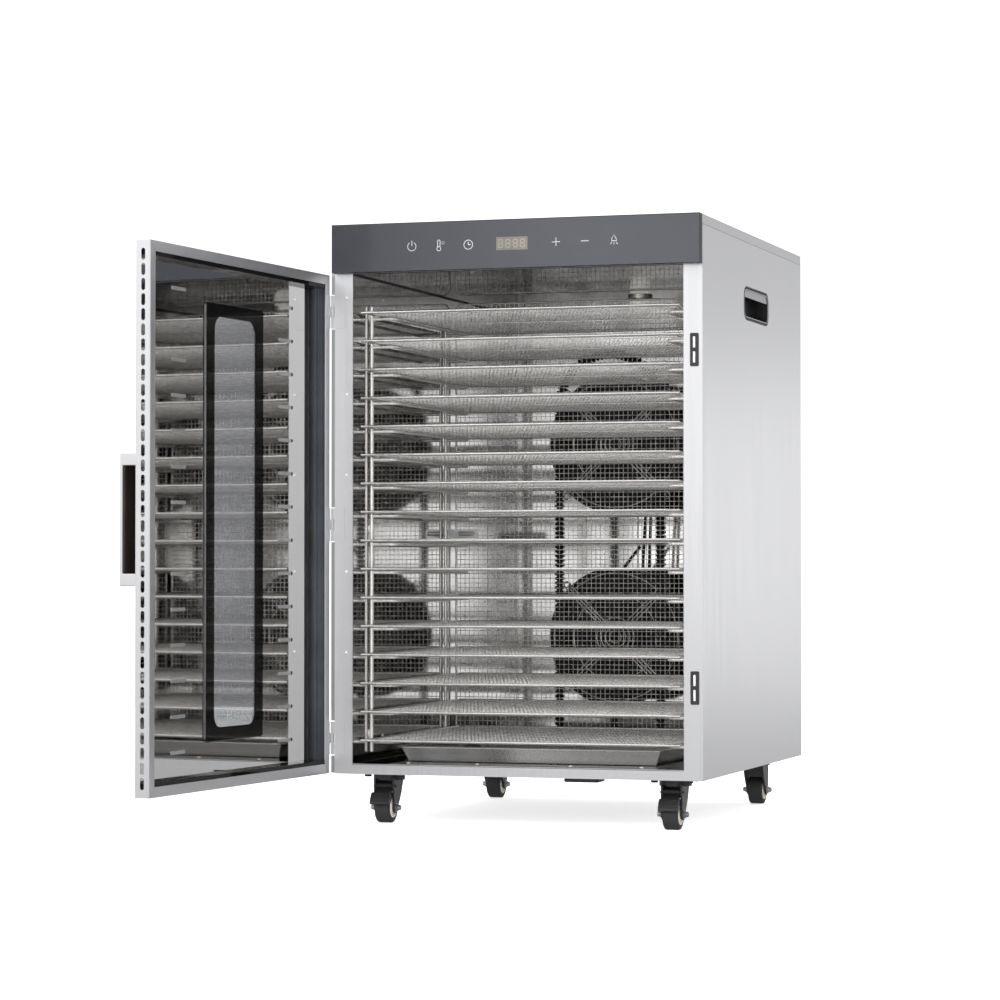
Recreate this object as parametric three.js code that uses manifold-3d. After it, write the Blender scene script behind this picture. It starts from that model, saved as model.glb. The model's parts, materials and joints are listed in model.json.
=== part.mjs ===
// A tray dehydrator: a steel cabinet on four castors, with a glazed door, sixteen mesh trays on wire racks,
// two fans and a heater behind a wire guard, and a touch fascia above the door.
//
// Cabinet frame: X to the right, Y to the rear, Z up, millimetres. X = 0 is the middle of the cabinet,
// Y = 0 the front plane that the door closes against, and Z = 0 the underside of the cabinet.
import * as THREE from "three";
import { mergeVertices } from "three/addons/utils/BufferGeometryUtils.js";
import Module from "manifold-3d";

const wasm = await Module();
wasm.setup();

// ---- Driving dimensions ----

const GAP = 0.3; // between neighbouring pieces

// Cabinet
const WIDTH = 470;
const DEPTH = 551;
const HEIGHT = 680;
const SHEET = 1.2;
const HALF = WIDTH / 2;

// Chamber and door opening
const OPENING_HALF = 211.5;
const OPENING_TOP = 620;
const SILL_TOP = 11.5;
const LINER_SHEET = 1;
const LINER_FLOOR = 12.8;
const LINER_REAR = 545;

// Control fascia and the mains inlet behind it
const FASCIA_DEPTH = 14;
const FASCIA_WALL = 3;
const FASCIA_FACE = 4;
const COVER_LIP = 12;
const PANEL_Z = 645; // cable hole and inlet
const INLET_X = -170;
const INLET_SIZE = [28, 20];

// Carry handles let into the side panels
const HANDLE_FRONT = 215;
const HANDLE_REAR = 355;
const HANDLE_LOW = 569;
const HANDLE_HIGH = 612;
const HANDLE_CORNER = 15;
const HANDLE_WALL = 4;
const HANDLE_BACK_WALL = 2;

// Vents behind each fan
const VENT_SLOTS = 5;
const VENT_PITCH = 16;
const VENT_SIZE = [120, 5];

// Trays and the racks that carry them
const TRAY_COUNT = 16;
const TRAY_PITCH = 35.4;
const TRAY_TOP_Z = 572;
const TRAY_WIDTH = 400;
const TRAY_FRONT = 8;
const TRAY_REAR = 386;
const TRAY_WIRE = 4;
const RACK_WIRE = 4;
const RACK_POST_X = 208;
const RACK_RAIL_X = 175.6;
const RACK_FRONT = 60;
const RACK_REAR = 350;
const RACK_DROP = TRAY_WIRE / 2 + RACK_WIRE / 2 + GAP; // from a tray's middle down to its rail's middle

// Fans, heater and guard behind the trays
const GUARD_Y = 390;
const GUARD_THICK = 3;
const GUARD_HALF = 208;
const GUARD_HEIGHTS = [15, 614];
const GUARD_CORNER = 10;
const GUARD_BAR = 5;
const GUARD_CELLS = [5, 8];
const FAN_X = 8;
const FAN_UPPER_Z = 422;
const FAN_LOWER_Z = 162;
const FAN_RADIUS = 84;
const FAN_Y = 442;
const FAN_BLADES = 5;
const HEATER_Y = 408;
const HEATER_RADIUS = 6;
const HEATER_LEFT_X = -71.5;
const HEATER_RIGHT_X = 75.5;
const HEATER_FOOT = 20;
const HEATER_SHOULDER = 470; // where the straight legs meet the arch

// Door, as it stands closed
const DOOR_LEFT = -234;
const DOOR_RIGHT = 232;
const DOOR_BOTTOM = 0.5;
const DOOR_TOP = 618.5;
const DOOR_BACK = -2; // plane of the lips that meet the cabinet
const DOOR_FRONT = -20;
const DOOR_SHEET = 1;
const DOOR_LIP = 12;
const DOOR_MIDDLE_X = (DOOR_LEFT + DOOR_RIGHT) / 2;
const DOOR_MIDDLE_Z = 308.5;
const DOOR_OPEN_DEG = 94.33;
const HINGE_X = -238;
const HINGE_Y = 0.5;
const HINGE_HEIGHTS = { top: 573, middle: 308.5, bottom: 44 };
const HINGE_LENGTH = 41;
const KNUCKLE = HINGE_LENGTH / 3;
const BARREL_RADIUS = 2.5;
const PIN_RADIUS = 1.2;
const KNUCKLE_BORE = 1.75;
const HINGE_PLAY = 0.35;
const HINGE_PLATE = 16;

// Castors
const FLOOR_Z = -63;
const CASTOR_X = 185;
const CASTOR_FRONT_Y = 62;
const CASTOR_REAR_Y = 489;
const CASTOR_TRAIL = 12;
const WHEEL_RADIUS = 19;
const WHEEL_WIDTH = 19;
const WHEEL_SIDES = 20;
const AXLE_Z = FLOOR_Z + WHEEL_RADIUS;
const CASTOR_PLATE = [60, 50];
const CASTOR_PLATE_THICK = 2.5;

// ---- Materials ----

function finish(color, roughness, metalness) {
  return new THREE.MeshStandardMaterial({ color, roughness, metalness });
}

const satinSteel = finish(0xd6d7da, 0.38, 1);
const mirrorSteel = finish(0xe2e3e6, 0.08, 1);
const wireSteel = finish(0xc9c9cc, 0.25, 1);
const zincPlate = finish(0xb9bec6, 0.35, 1);
const darkGlass = finish(0x5b6066, 0.12, 0);
const clearGlass = finish(0xdfe6e8, 0.03, 0);
const blackPlastic = finish(0x161618, 0.5, 0);
const blackMetal = finish(0x1c1c1f, 0.45, 0.6);
const circuitBoard = finish(0x2c5a3c, 0.55, 0);
const lampGlass = finish(0xf2eee2, 0.2, 0);
const tyreRubber = finish(0x1a1a1b, 0.75, 0);

// ---- Solids ----

// The closed geometry as a solid that can be joined and cut.
function solid(geometry) {
  const bare = geometry.clone();
  bare.deleteAttribute("normal");
  bare.deleteAttribute("uv");
  const merged = mergeVertices(bare, 1e-4);
  const vertProperties = new Float32Array(merged.attributes.position.array);
  const triVerts = new Uint32Array(merged.index.array);
  return new wasm.Manifold(new wasm.Mesh({ numProp: 3, vertProperties, triVerts }));
}

function geometryOf(shape) {
  const mesh = shape.getMesh();
  const geometry = new THREE.BufferGeometry();
  geometry.setAttribute("position", new THREE.BufferAttribute(new Float32Array(mesh.vertProperties), 3));
  geometry.setIndex(new THREE.BufferAttribute(new Uint32Array(mesh.triVerts), 1));
  const faceted = geometry.toNonIndexed();
  faceted.computeVertexNormals();
  return faceted;
}

function join(...shapes) {
  return shapes.flat().reduce((whole, next) => whole.add(next));
}

function cut(shape, ...holes) {
  return holes.flat().reduce((left, hole) => left.subtract(hole), shape);
}

// The two ends of a stretch of this size around a middle.
function around(middle, size) {
  return [middle - size / 2, middle + size / 2];
}

// Two distances from the middle plane, on one side of it, in rising order.
function onSide(side, near, far) {
  return side > 0 ? [near, far] : [-far, -near];
}

function box([x0, x1], [y0, y1], [z0, z1]) {
  const geometry = new THREE.BoxGeometry(x1 - x0, y1 - y0, z1 - z0);
  geometry.translate((x0 + x1) / 2, (y0 + y1) / 2, (z0 + z1) / 2);
  return solid(geometry);
}

// A rectangle with round corners, as an outline in a plane.
function roundedRectangle([u0, u1], [v0, v1], radius, path = new THREE.Shape()) {
  path.moveTo(u0 + radius, v0);
  path.lineTo(u1 - radius, v0);
  path.absarc(u1 - radius, v0 + radius, radius, -Math.PI / 2, 0);
  path.lineTo(u1, v1 - radius);
  path.absarc(u1 - radius, v1 - radius, radius, 0, Math.PI / 2);
  path.lineTo(u0 + radius, v1);
  path.absarc(u0 + radius, v1 - radius, radius, Math.PI / 2, Math.PI);
  path.lineTo(u0, v0 + radius);
  path.absarc(u0 + radius, v0 + radius, radius, Math.PI, Math.PI * 1.5);
  return path;
}

const ARC_STEPS = 4;

function extrude(shape, depth, curveSegments = ARC_STEPS) {
  return new THREE.ExtrudeGeometry(shape, { depth, curveSegments, bevelEnabled: false });
}

// An outline drawn in X and Z, as a plate between two depths.
function plateXZ(shape, [y0, y1], curveSegments) {
  const geometry = extrude(shape, y1 - y0, curveSegments);
  geometry.rotateX(Math.PI / 2);
  geometry.translate(0, y1, 0);
  return solid(geometry);
}

// An outline drawn in X and Y, as a plate between two heights.
function plateXY(shape, [z0, z1], curveSegments) {
  const geometry = extrude(shape, z1 - z0, curveSegments);
  geometry.translate(0, 0, z0);
  return solid(geometry);
}

// An outline drawn in Y and Z, as a plate between two widths.
function plateYZ(shape, [x0, x1], curveSegments) {
  const geometry = extrude(shape, x1 - x0, curveSegments);
  geometry.rotateX(Math.PI / 2);
  geometry.rotateZ(Math.PI / 2);
  geometry.translate(x0, 0, 0);
  return solid(geometry);
}

// A round bar along one axis, between two places on it.
function bar(axis, radius, [from, to], [x, y, z], sides = 12) {
  const geometry = new THREE.CylinderGeometry(radius, radius, to - from, sides);
  geometry.rotateY(Math.PI / sides);
  if (axis === "x") geometry.rotateZ(-Math.PI / 2);
  if (axis === "z") geometry.rotateX(Math.PI / 2);
  const along = new THREE.Vector3(axis === "x" ? 1 : 0, axis === "y" ? 1 : 0, axis === "z" ? 1 : 0);
  const middle = new THREE.Vector3(x, y, z).addScaledVector(along, (from + to) / 2);
  geometry.translate(middle.x, middle.y, middle.z);
  return solid(geometry);
}

// ---- Cabinet shell ----

const COWL = { x: [58, 102], y: [8, 44], bottom: -5 }; // under the sill, around the door switch
const SILL_TREAD = 22;
const CABLE_HOLE = { x: 150, radius: 8 };

function sidePanel(side) {
  const faces = onSide(side, HALF - SHEET, HALF);
  const wall = box(faces, [SHEET + GAP, DEPTH], [0, HEIGHT - COVER_LIP - GAP]);
  const hole = roundedRectangle([HANDLE_FRONT, HANDLE_REAR], [HANDLE_LOW, HANDLE_HIGH], HANDLE_CORNER);
  return cut(wall, plateYZ(hole, [faces[0] - 1, faces[1] + 1]));
}

function topCover() {
  const block = box([-HALF, HALF], [0, DEPTH], [HEIGHT - COVER_LIP, HEIGHT]);
  const under = [HEIGHT - COVER_LIP - 1, HEIGHT - SHEET];
  const inside = box([SHEET - HALF, HALF - SHEET], [-1, DEPTH - SHEET], under);
  return cut(block, inside);
}

const INNER_HALF = HALF - SHEET - GAP; // to the inside of the side panels

function backPanel() {
  const faces = [DEPTH - SHEET, DEPTH];
  const wall = box([-INNER_HALF, INNER_HALF], faces, [SHEET + GAP, HEIGHT - COVER_LIP - GAP]);
  const through = [faces[0] - 1, faces[1] + 1];
  const slots = [];
  for (const fanZ of [FAN_UPPER_Z, FAN_LOWER_Z])
    for (let i = 0; i < VENT_SLOTS; i++) {
      const z = fanZ + (i - (VENT_SLOTS - 1) / 2) * VENT_PITCH;
      slots.push(box(around(FAN_X, VENT_SIZE[0]), through, around(z, VENT_SIZE[1])));
    }
  const [inletWidth, inletHeight] = INLET_SIZE;
  const inlet = box(around(INLET_X, inletWidth + 2 * GAP), through, around(PANEL_Z, inletHeight + 2 * GAP));
  return cut(wall, slots, inlet);
}

function basePan() {
  const floor = box([-INNER_HALF, INNER_HALF], [SHEET + GAP, DEPTH - SHEET - GAP], [0, SHEET]);
  const plates = [];
  const [plateWidth, plateDepth] = CASTOR_PLATE;
  for (const x of [-CASTOR_X, CASTOR_X])
    for (const y of [CASTOR_FRONT_Y, CASTOR_REAR_Y])
      plates.push(box(around(x, plateWidth), around(y, plateDepth), [-CASTOR_PLATE_THICK, SHEET / 2]));
  const cowl = box(COWL.x, COWL.y, [COWL.bottom, SHEET / 2]);
  return join(floor, plates, cowl);
}

// The jambs, sill and header that the door closes against, with the fixed halves of the hinges.
function frontFrame() {
  const face = [0, SHEET];
  const left = box([-HALF, -OPENING_HALF], face, [0, OPENING_TOP + 1]);
  const right = box([OPENING_HALF, HALF], face, [0, OPENING_TOP + 1]);
  const sill = box([-HALF, HALF], face, [0, SILL_TOP]);
  const tread = box([-OPENING_HALF, OPENING_HALF], [0, SILL_TREAD], [SILL_TOP - SHEET, SILL_TOP]);
  const header = box([-HALF, HALF], face, [OPENING_TOP, HEIGHT - COVER_LIP - GAP]);
  const cableHole = bar("y", CABLE_HOLE.radius, [-1, SHEET + 1], [CABLE_HOLE.x, 0, PANEL_Z]);
  const hinges = Object.values(HINGE_HEIGHTS).map(fixedHingeHalf);
  return join(cut(join(left, right, sill, tread, header), cableHole), hinges);
}

// Two outer knuckles, the pin and the plate that is fixed to the jamb.
function fixedHingeHalf(z) {
  const low = z - HINGE_LENGTH / 2;
  const high = z + HINGE_LENGTH / 2;
  const at = [HINGE_X, HINGE_Y, 0];
  const knuckles = [
    bar("z", BARREL_RADIUS, [low, low + KNUCKLE], at),
    bar("z", BARREL_RADIUS, [high - KNUCKLE, high], at),
  ];
  const pin = bar("z", PIN_RADIUS, [low + 1, high - 1], at, 8);
  const plate = box([HINGE_X, HINGE_X + HINGE_PLATE], [-SHEET, GAP], [low, high]);
  const window = box(around(HINGE_X, 2 * BARREL_RADIUS + 3), [-2, 1], [low + KNUCKLE, high - KNUCKLE]);
  return join(cut(plate, window), knuckles, pin);
}

// The bright box that the trays stand in; it is open at the front.
function chamberLiner() {
  const outer = box(
    [-OPENING_HALF - LINER_SHEET, OPENING_HALF + LINER_SHEET],
    [SHEET + GAP, LINER_REAR + LINER_SHEET],
    [LINER_FLOOR - LINER_SHEET, OPENING_TOP + LINER_SHEET],
  );
  const inner = box([-OPENING_HALF, OPENING_HALF], [-1, LINER_REAR], [LINER_FLOOR, OPENING_TOP]);
  return cut(outer, inner);
}

// ---- Fascia and electronics ----

function controlFascia() {
  const outer = box([-HALF, HALF], [-FASCIA_DEPTH, -GAP], [OPENING_TOP + GAP, HEIGHT]);
  const pocket = box(
    [FASCIA_WALL - HALF, HALF - FASCIA_WALL],
    [FASCIA_FACE - FASCIA_DEPTH, 1],
    [OPENING_TOP + FASCIA_WALL, HEIGHT - FASCIA_WALL],
  );
  return cut(outer, pocket);
}

// The touch board behind the fascia, with its display towards the front and a transformer towards the rear.
function controlBoard() {
  const middle = 650;
  const [front, rear] = [-6, -4.4];
  const board = box([-220, 220], [front, rear], around(middle, 44));
  const display = box([-22, 22], [front - 3.6, rear - 0.6], around(middle, 20));
  const transformer = box([90, 130], [front + 1, -1], around(middle, 32));
  return join(board, display, transformer);
}

// A three-pin inlet: a body through the back panel, a flange behind it, and a socket with three blades.
function powerInlet() {
  const [width, height] = INLET_SIZE;
  const wall = 2;
  const body = box(around(INLET_X, width), [DEPTH - 26, DEPTH + 1], around(PANEL_Z, height));
  const flange = box(around(INLET_X, width + 18), [DEPTH + GAP, DEPTH + 2.5], around(PANEL_Z, height + 6));
  const mouth = [DEPTH - 16, DEPTH + 4];
  const socket = box(around(INLET_X, width - 2 * wall), mouth, around(PANEL_Z, height - 2 * wall));
  const blades = [-7, 0, 7].map((x) =>
    box(around(INLET_X + x, 2), [DEPTH - 18, DEPTH - 4], around(PANEL_Z, 4)),
  );
  return join(cut(join(body, flange), socket), blades);
}

const MAGNET_HEIGHTS = { upper: 516.6, lower: 111.3 };

function magnetCatch(z) {
  return box(around(225, 10.4), [-1.6, -GAP], around(z, 40));
}

// ---- Carry handles in the side panels ----

// A cup that a hand reaches into, open to the outside and closed towards the chamber.
function sideHandle(side) {
  const depths = onSide(side, OPENING_HALF + LINER_SHEET + GAP, HALF);
  const outline = roundedRectangle(
    [HANDLE_FRONT + GAP, HANDLE_REAR - GAP],
    [HANDLE_LOW + GAP, HANDLE_HIGH - GAP],
    HANDLE_CORNER - GAP,
  );
  const hollow = roundedRectangle(
    [HANDLE_FRONT + HANDLE_WALL, HANDLE_REAR - HANDLE_WALL],
    [HANDLE_LOW + HANDLE_WALL, HANDLE_HIGH - HANDLE_WALL],
    HANDLE_CORNER - HANDLE_WALL,
  );
  const cavity = onSide(side, OPENING_HALF + LINER_SHEET + GAP + HANDLE_BACK_WALL, HALF + 1);
  return cut(plateYZ(outline, depths), plateYZ(hollow, cavity));
}

// ---- Racks and trays ----

function trayHeight(index) {
  return TRAY_TOP_Z - index * TRAY_PITCH;
}

// A straight square wire between two corners that differ along one axis.
function wire([x0, y0, z0], [x1, y1, z1], size = RACK_WIRE) {
  const reach = (a, b) => [Math.min(a, b) - size / 2, Math.max(a, b) + size / 2];
  return box(reach(x0, x1), reach(y0, y1), reach(z0, z1));
}

// Two posts on the chamber wall and a U-shaped rail for each tray.
function rack(side) {
  const post = RACK_POST_X * side;
  const rail = RACK_RAIL_X * side;
  const wall = (OPENING_HALF - GAP - RACK_WIRE / 2) * side;
  const lowest = trayHeight(TRAY_COUNT - 1) - RACK_DROP - 10;
  const middle = trayHeight(TRAY_COUNT / 2) - TRAY_PITCH / 2;
  const wires = [];
  for (const y of [RACK_FRONT, RACK_REAR]) {
    wires.push(wire([post, y, lowest], [post, y, TRAY_TOP_Z + 9]));
    for (const z of [lowest + 20, middle, TRAY_TOP_Z]) wires.push(wire([post, y, z], [wall, y, z]));
  }
  for (let i = 0; i < TRAY_COUNT; i++) {
    const z = trayHeight(i) - RACK_DROP;
    wires.push(wire([post, RACK_FRONT, z], [rail, RACK_FRONT, z]));
    wires.push(wire([rail, RACK_FRONT, z], [rail, RACK_REAR, z]));
    wires.push(wire([rail, RACK_REAR, z], [post, RACK_REAR, z]));
  }
  return join(wires);
}

// A wire rim with rounded corners around a mesh, with one stay across the middle.
function meshTray(z) {
  const corner = 14;
  const half = TRAY_WIRE / 2;
  const [meshLow, meshHigh] = [z - 1.4, z - 0.6];
  const stayY = [198, 201];
  const plate = (inset, levels) => {
    const outline = roundedRectangle(
      [inset - TRAY_WIDTH / 2, TRAY_WIDTH / 2 - inset],
      [TRAY_FRONT + inset, TRAY_REAR - inset],
      corner - inset,
    );
    return plateXY(outline, levels, 2);
  };
  const rim = plate(0, [z - half, z + half]);
  const over = plate(TRAY_WIRE, [meshHigh, z + half + 1]);
  const under = plate(TRAY_WIRE, [z - half - 1, meshLow]);
  const stay = box([1 - TRAY_WIDTH / 2, TRAY_WIDTH / 2 - 1], stayY, [z - half, z - 1]);
  return join(cut(rim, over, under), stay);
}

// A pan with sloping sides and a flat rim, which catches what falls from the trays.
function dripTray() {
  const [bottom, top] = [LINER_FLOOR + GAP + 0.1, 32.5];
  const [halfWidth, front, rear] = [175, 50, 368];
  const [rimWidth, slope, sheet, corner] = [7, 8, 1, 16];
  const ring = (inset, z) => {
    const [x, y0, y1] = [halfWidth - inset, front + inset, rear - inset];
    return [[-x, y0, z], [x, y0, z], [x, y1, z], [-x, y1, z]];
  };
  const bowl = (inset, low) =>
    frustum([...ring(rimWidth + inset, top + inset), ...ring(rimWidth + slope + inset, low)]);
  const rimOutline = roundedRectangle([-halfWidth, halfWidth], [front, rear], corner);
  const rim = plateXY(rimOutline, [top - sheet, top]);
  return cut(join(rim, bowl(0, bottom)), bowl(sheet, bottom + sheet));
}

// A six-sided solid from four upper corners and the four lower corners under them.
function frustum(corners) {
  const faces = [
    [0, 1, 2, 3],
    [7, 6, 5, 4],
    [4, 5, 1, 0],
    [5, 6, 2, 1],
    [6, 7, 3, 2],
    [7, 4, 0, 3],
  ];
  const geometry = new THREE.BufferGeometry();
  geometry.setAttribute("position", new THREE.Float32BufferAttribute(corners.flat(), 3));
  geometry.setIndex(faces.flatMap(([a, b, c, d]) => [a, b, c, a, c, d]));
  return solid(geometry);
}

// ---- Fans, heater, guard, lamp and sensor ----

// The wire guard as a grid of flat bars.
function rearGuard() {
  const [columns, rows] = GUARD_CELLS;
  const [low, high] = GUARD_HEIGHTS;
  const stepX = (2 * GUARD_HALF - GUARD_BAR) / columns;
  const stepZ = (high - low - GUARD_BAR) / rows;
  const cells = [];
  for (let i = 0; i < columns; i++)
    for (let j = 0; j < rows; j++) {
      const x = GUARD_BAR - GUARD_HALF + i * stepX;
      const z = low + GUARD_BAR + j * stepZ;
      const across = [x, x + stepX - GUARD_BAR];
      cells.push(box(across, around(GUARD_Y, 2 * GUARD_THICK), [z, z + stepZ - GUARD_BAR]));
    }
  const outline = roundedRectangle([-GUARD_HALF, GUARD_HALF], GUARD_HEIGHTS, GUARD_CORNER);
  return cut(plateXZ(outline, around(GUARD_Y, GUARD_THICK)), cells);
}

// The motor can, its venturi ring and the arms that hold both to the chamber's rear wall.
function fanMotor(z) {
  const ringInner = FAN_RADIUS + 4;
  const ringOuter = ringInner + 4;
  const centre = [FAN_X, 0, z];
  const ring = cut(
    bar("y", ringOuter, around(FAN_Y, 28), centre, 24),
    bar("y", ringInner, around(FAN_Y, 40), centre, 24),
  );
  const can = bar("y", 34, [FAN_Y + 20, FAN_Y + 66], centre, 16);
  const armX = ringInner + 2;
  const armHeights = around(z, 18);
  const arms = [-1, 1].map((side) =>
    box(around(FAN_X + side * armX, 8), [FAN_Y + 8, LINER_REAR - GAP], armHeights),
  );
  arms.push(box(around(FAN_X, 2 * armX), [FAN_Y + 28, FAN_Y + 34], armHeights));
  const shaftBore = bar("y", 4.5, [FAN_Y + 15, FAN_Y + 58], centre, 12);
  return cut(join(ring, can, arms), shaftBore);
}

// A hub with pitched blades and the shaft that turns in the motor.
function fanRotor(z) {
  const bladePitch = THREE.MathUtils.degToRad(22);
  const bladeSheet = 2;
  const hub = bar("y", 20, [-10, 10], [0, 0, 0], 16);
  const shaft = bar("y", 3.5, [0, 50], [0, 0, 0], 8);
  const blades = [];
  for (let i = 0; i < FAN_BLADES; i++) {
    const outline = new THREE.Shape();
    outline.moveTo(14, -10);
    outline.lineTo(FAN_RADIUS * 0.62, -30);
    outline.lineTo(FAN_RADIUS * 0.92, -22);
    outline.lineTo(FAN_RADIUS * 0.97, 8);
    outline.lineTo(FAN_RADIUS * 0.6, 20);
    outline.lineTo(14, 9);
    const geometry = extrude(outline, bladeSheet);
    geometry.rotateX(Math.PI / 2);
    geometry.translate(0, bladeSheet / 2, 0);
    geometry.rotateX(bladePitch);
    geometry.rotateY((i / FAN_BLADES) * Math.PI * 2);
    blades.push(solid(geometry));
  }
  return join(hub, shaft, blades).translate([FAN_X, FAN_Y, z]);
}

// A finned tube that rises on one side, crosses over and comes down, with its terminal bar at the foot.
function heater() {
  const span = (HEATER_RIGHT_X - HEATER_LEFT_X) / 2;
  const middle = (HEATER_RIGHT_X + HEATER_LEFT_X) / 2;
  const archSteps = 8;
  const route = new THREE.CurvePath();
  const legs = [HEATER_LEFT_X, HEATER_RIGHT_X];
  route.add(new THREE.LineCurve3(at(legs[0], HEATER_FOOT), at(legs[0], HEATER_SHOULDER)));
  const arch = new THREE.EllipseCurve(middle, HEATER_SHOULDER, span, span, Math.PI, 0, true);
  const archPoints = arch.getPoints(archSteps).map((p) => at(p.x, p.y));
  for (let i = 1; i < archPoints.length; i++)
    route.add(new THREE.LineCurve3(archPoints[i - 1], archPoints[i]));
  route.add(new THREE.LineCurve3(at(legs[1], HEATER_SHOULDER), at(legs[1], HEATER_FOOT)));
  const section = new THREE.Shape().absarc(0, 0, HEATER_RADIUS, 0, Math.PI * 2);
  const tube = new THREE.ExtrudeGeometry(section, { steps: 32, extrudePath: route, curveSegments: 4 });
  const terminals = box(
    [legs[0] - 10, legs[1] + 10],
    around(HEATER_Y, 10),
    [LINER_FLOOR + GAP, HEATER_FOOT + 4],
  );
  return join(solid(tube), terminals);

  function at(x, z) {
    return new THREE.Vector3(x, HEATER_Y, z);
  }
}

// An angle bracket on the left wall that holds the temperature probe.
function temperatureSensor() {
  const wall = GAP - OPENING_HALF;
  const middle = 301;
  const heights = around(middle, 12);
  const [footFront, front, rear] = [366, 385, 386.2];
  const plate = box([wall, wall + 38], [front, rear], heights);
  const foot = box([wall, wall + 1.2], [footFront, rear], heights);
  const holes = [12, 27].map((x) => bar("y", 2, [front - 5, rear + 4], [wall + x, 0, middle], 8));
  return cut(join(plate, foot), holes);
}

// A lamp glass that hangs from its collar under the chamber ceiling.
function chamberLamp() {
  const [x, y] = [43, 424];
  const [glassRadius, collarRadius] = [14, 17];
  const [shoulder, glassTop, top] = [10, 24, 28];
  const points = [
    new THREE.Vector2(0, 0),
    new THREE.Vector2(glassRadius - 4, 2),
    new THREE.Vector2(glassRadius, shoulder),
    new THREE.Vector2(glassRadius, glassTop),
    new THREE.Vector2(collarRadius, glassTop),
    new THREE.Vector2(collarRadius, top),
    new THREE.Vector2(0, top),
  ];
  const geometry = new THREE.LatheGeometry(points, 16);
  geometry.rotateX(Math.PI / 2);
  geometry.translate(x, y, OPENING_TOP - GAP - top);
  return solid(geometry);
}

// ---- Door, drawn closed ----

const SLOT_COUNT = 36;
const SLOT_PITCH = 16.75;
const SLOT_LENGTH = 13.3;
const SLOT_WIDTH = 4.8;
const GLASS_SIZE = [146, 508];
const PANEL_OPENING = [148, 510];
const CLEAR_SIZE = [107, 477];
const CLEAR_CORNER = 16;
const WINDOW_HOLE = [112, 482];
const WINDOW_CORNER = 18;
const GLASS_DEPTHS = [-18.7, -15.7];
const GLASS_CORNER = 4;
const GRIP_HEIGHTS = around(DOOR_MIDDLE_Z, 148);
const GRIP_WIDTHS = [196, 228];
const GRIP_FRONT = -42;
const GRIP_LEG = 14;
const GRIP_PLATE = 3.5;

function aroundWindow([width, height], radius, path) {
  return roundedRectangle(around(DOOR_MIDDLE_X, width), around(DOOR_MIDDLE_Z, height), radius, path);
}

// A row of slots through one upright wall of the door.
function edgeSlots(wallX) {
  const middleY = (DOOR_FRONT + DOOR_BACK) / 2;
  const slots = [];
  for (let i = 0; i < SLOT_COUNT; i++) {
    const z = DOOR_MIDDLE_Z + 1 + (i - (SLOT_COUNT - 1) / 2) * SLOT_PITCH;
    const outline = new THREE.Shape();
    const [halfWidth, halfLength] = [SLOT_WIDTH / 2, SLOT_LENGTH / 2];
    outline.moveTo(middleY, z - halfLength);
    outline.lineTo(middleY + halfWidth, z - halfLength + halfWidth);
    outline.lineTo(middleY + halfWidth, z + halfLength - halfWidth);
    outline.lineTo(middleY, z + halfLength);
    outline.lineTo(middleY - halfWidth, z + halfLength - halfWidth);
    outline.lineTo(middleY - halfWidth, z - halfLength + halfWidth);
    slots.push(plateYZ(outline, [wallX - 2, wallX + 2]));
  }
  return slots;
}

// A folded pan: outer skin with the window opening, four walls and a lip turned in around the back.
function doorFrame() {
  const [left, right] = [DOOR_LEFT, DOOR_RIGHT];
  const block = box([left, right], [DOOR_FRONT, DOOR_BACK], [DOOR_BOTTOM, DOOR_TOP]);
  const inside = box(
    [left + DOOR_SHEET, right - DOOR_SHEET],
    [DOOR_FRONT + DOOR_SHEET, DOOR_BACK - DOOR_SHEET],
    [DOOR_BOTTOM + DOOR_SHEET, DOOR_TOP - DOOR_SHEET],
  );
  const mouth = box(
    [left + DOOR_LIP, right - DOOR_LIP],
    [DOOR_BACK - 3, DOOR_BACK + 1],
    [DOOR_BOTTOM + DOOR_LIP, DOOR_TOP - DOOR_LIP],
  );
  const window = plateXZ(aroundWindow(WINDOW_HOLE, WINDOW_CORNER), [DOOR_FRONT - 1, DOOR_FRONT + 3]);
  return cut(block, inside, mouth, window, edgeSlots(left), edgeSlots(right));
}

function doorInnerPanel() {
  const inset = DOOR_SHEET + GAP;
  const plate = box(
    [DOOR_LEFT + inset, DOOR_RIGHT - inset],
    [-17.9, -17],
    [DOOR_BOTTOM + inset, DOOR_TOP - inset],
  );
  return cut(plate, plateXZ(aroundWindow(PANEL_OPENING, GLASS_CORNER), [-19, -16], 2));
}

function windowGlass() {
  return plateXZ(aroundWindow(GLASS_SIZE, GLASS_CORNER), GLASS_DEPTHS, 2);
}

function windowGasket() {
  const ring = aroundWindow(GLASS_SIZE, GLASS_CORNER);
  ring.holes.push(aroundWindow(CLEAR_SIZE, CLEAR_CORNER, new THREE.Path()));
  return plateXZ(ring, [GLASS_DEPTHS[1] + GAP, GLASS_DEPTHS[1] + GAP + 1]);
}

function doorHandle() {
  const block = box(GRIP_WIDTHS, [GRIP_FRONT, DOOR_FRONT - GAP], GRIP_HEIGHTS);
  const gap = box(
    [GRIP_WIDTHS[0] - 1, GRIP_WIDTHS[1] + 1],
    [GRIP_FRONT + GRIP_PLATE, DOOR_FRONT + 1],
    [GRIP_HEIGHTS[0] + GRIP_LEG, GRIP_HEIGHTS[1] - GRIP_LEG],
  );
  return cut(block, gap);
}

// The dark lining that closes the handle's inner side and leaves the finger space open outwards.
function doorHandleGrip() {
  const [low, high] = [GRIP_HEIGHTS[0] + GRIP_LEG + GAP, GRIP_HEIGHTS[1] - GRIP_LEG - GAP];
  const [front, rear] = [GRIP_FRONT + GRIP_PLATE + GAP, DOOR_FRONT - GAP];
  const [inner, outer] = GRIP_WIDTHS;
  const web = box([inner, inner + 3], [front, rear], [low, high]);
  const lining = box([inner, outer - 1], [front, front + 1.5], [low, high]);
  return join(web, lining);
}

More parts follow.
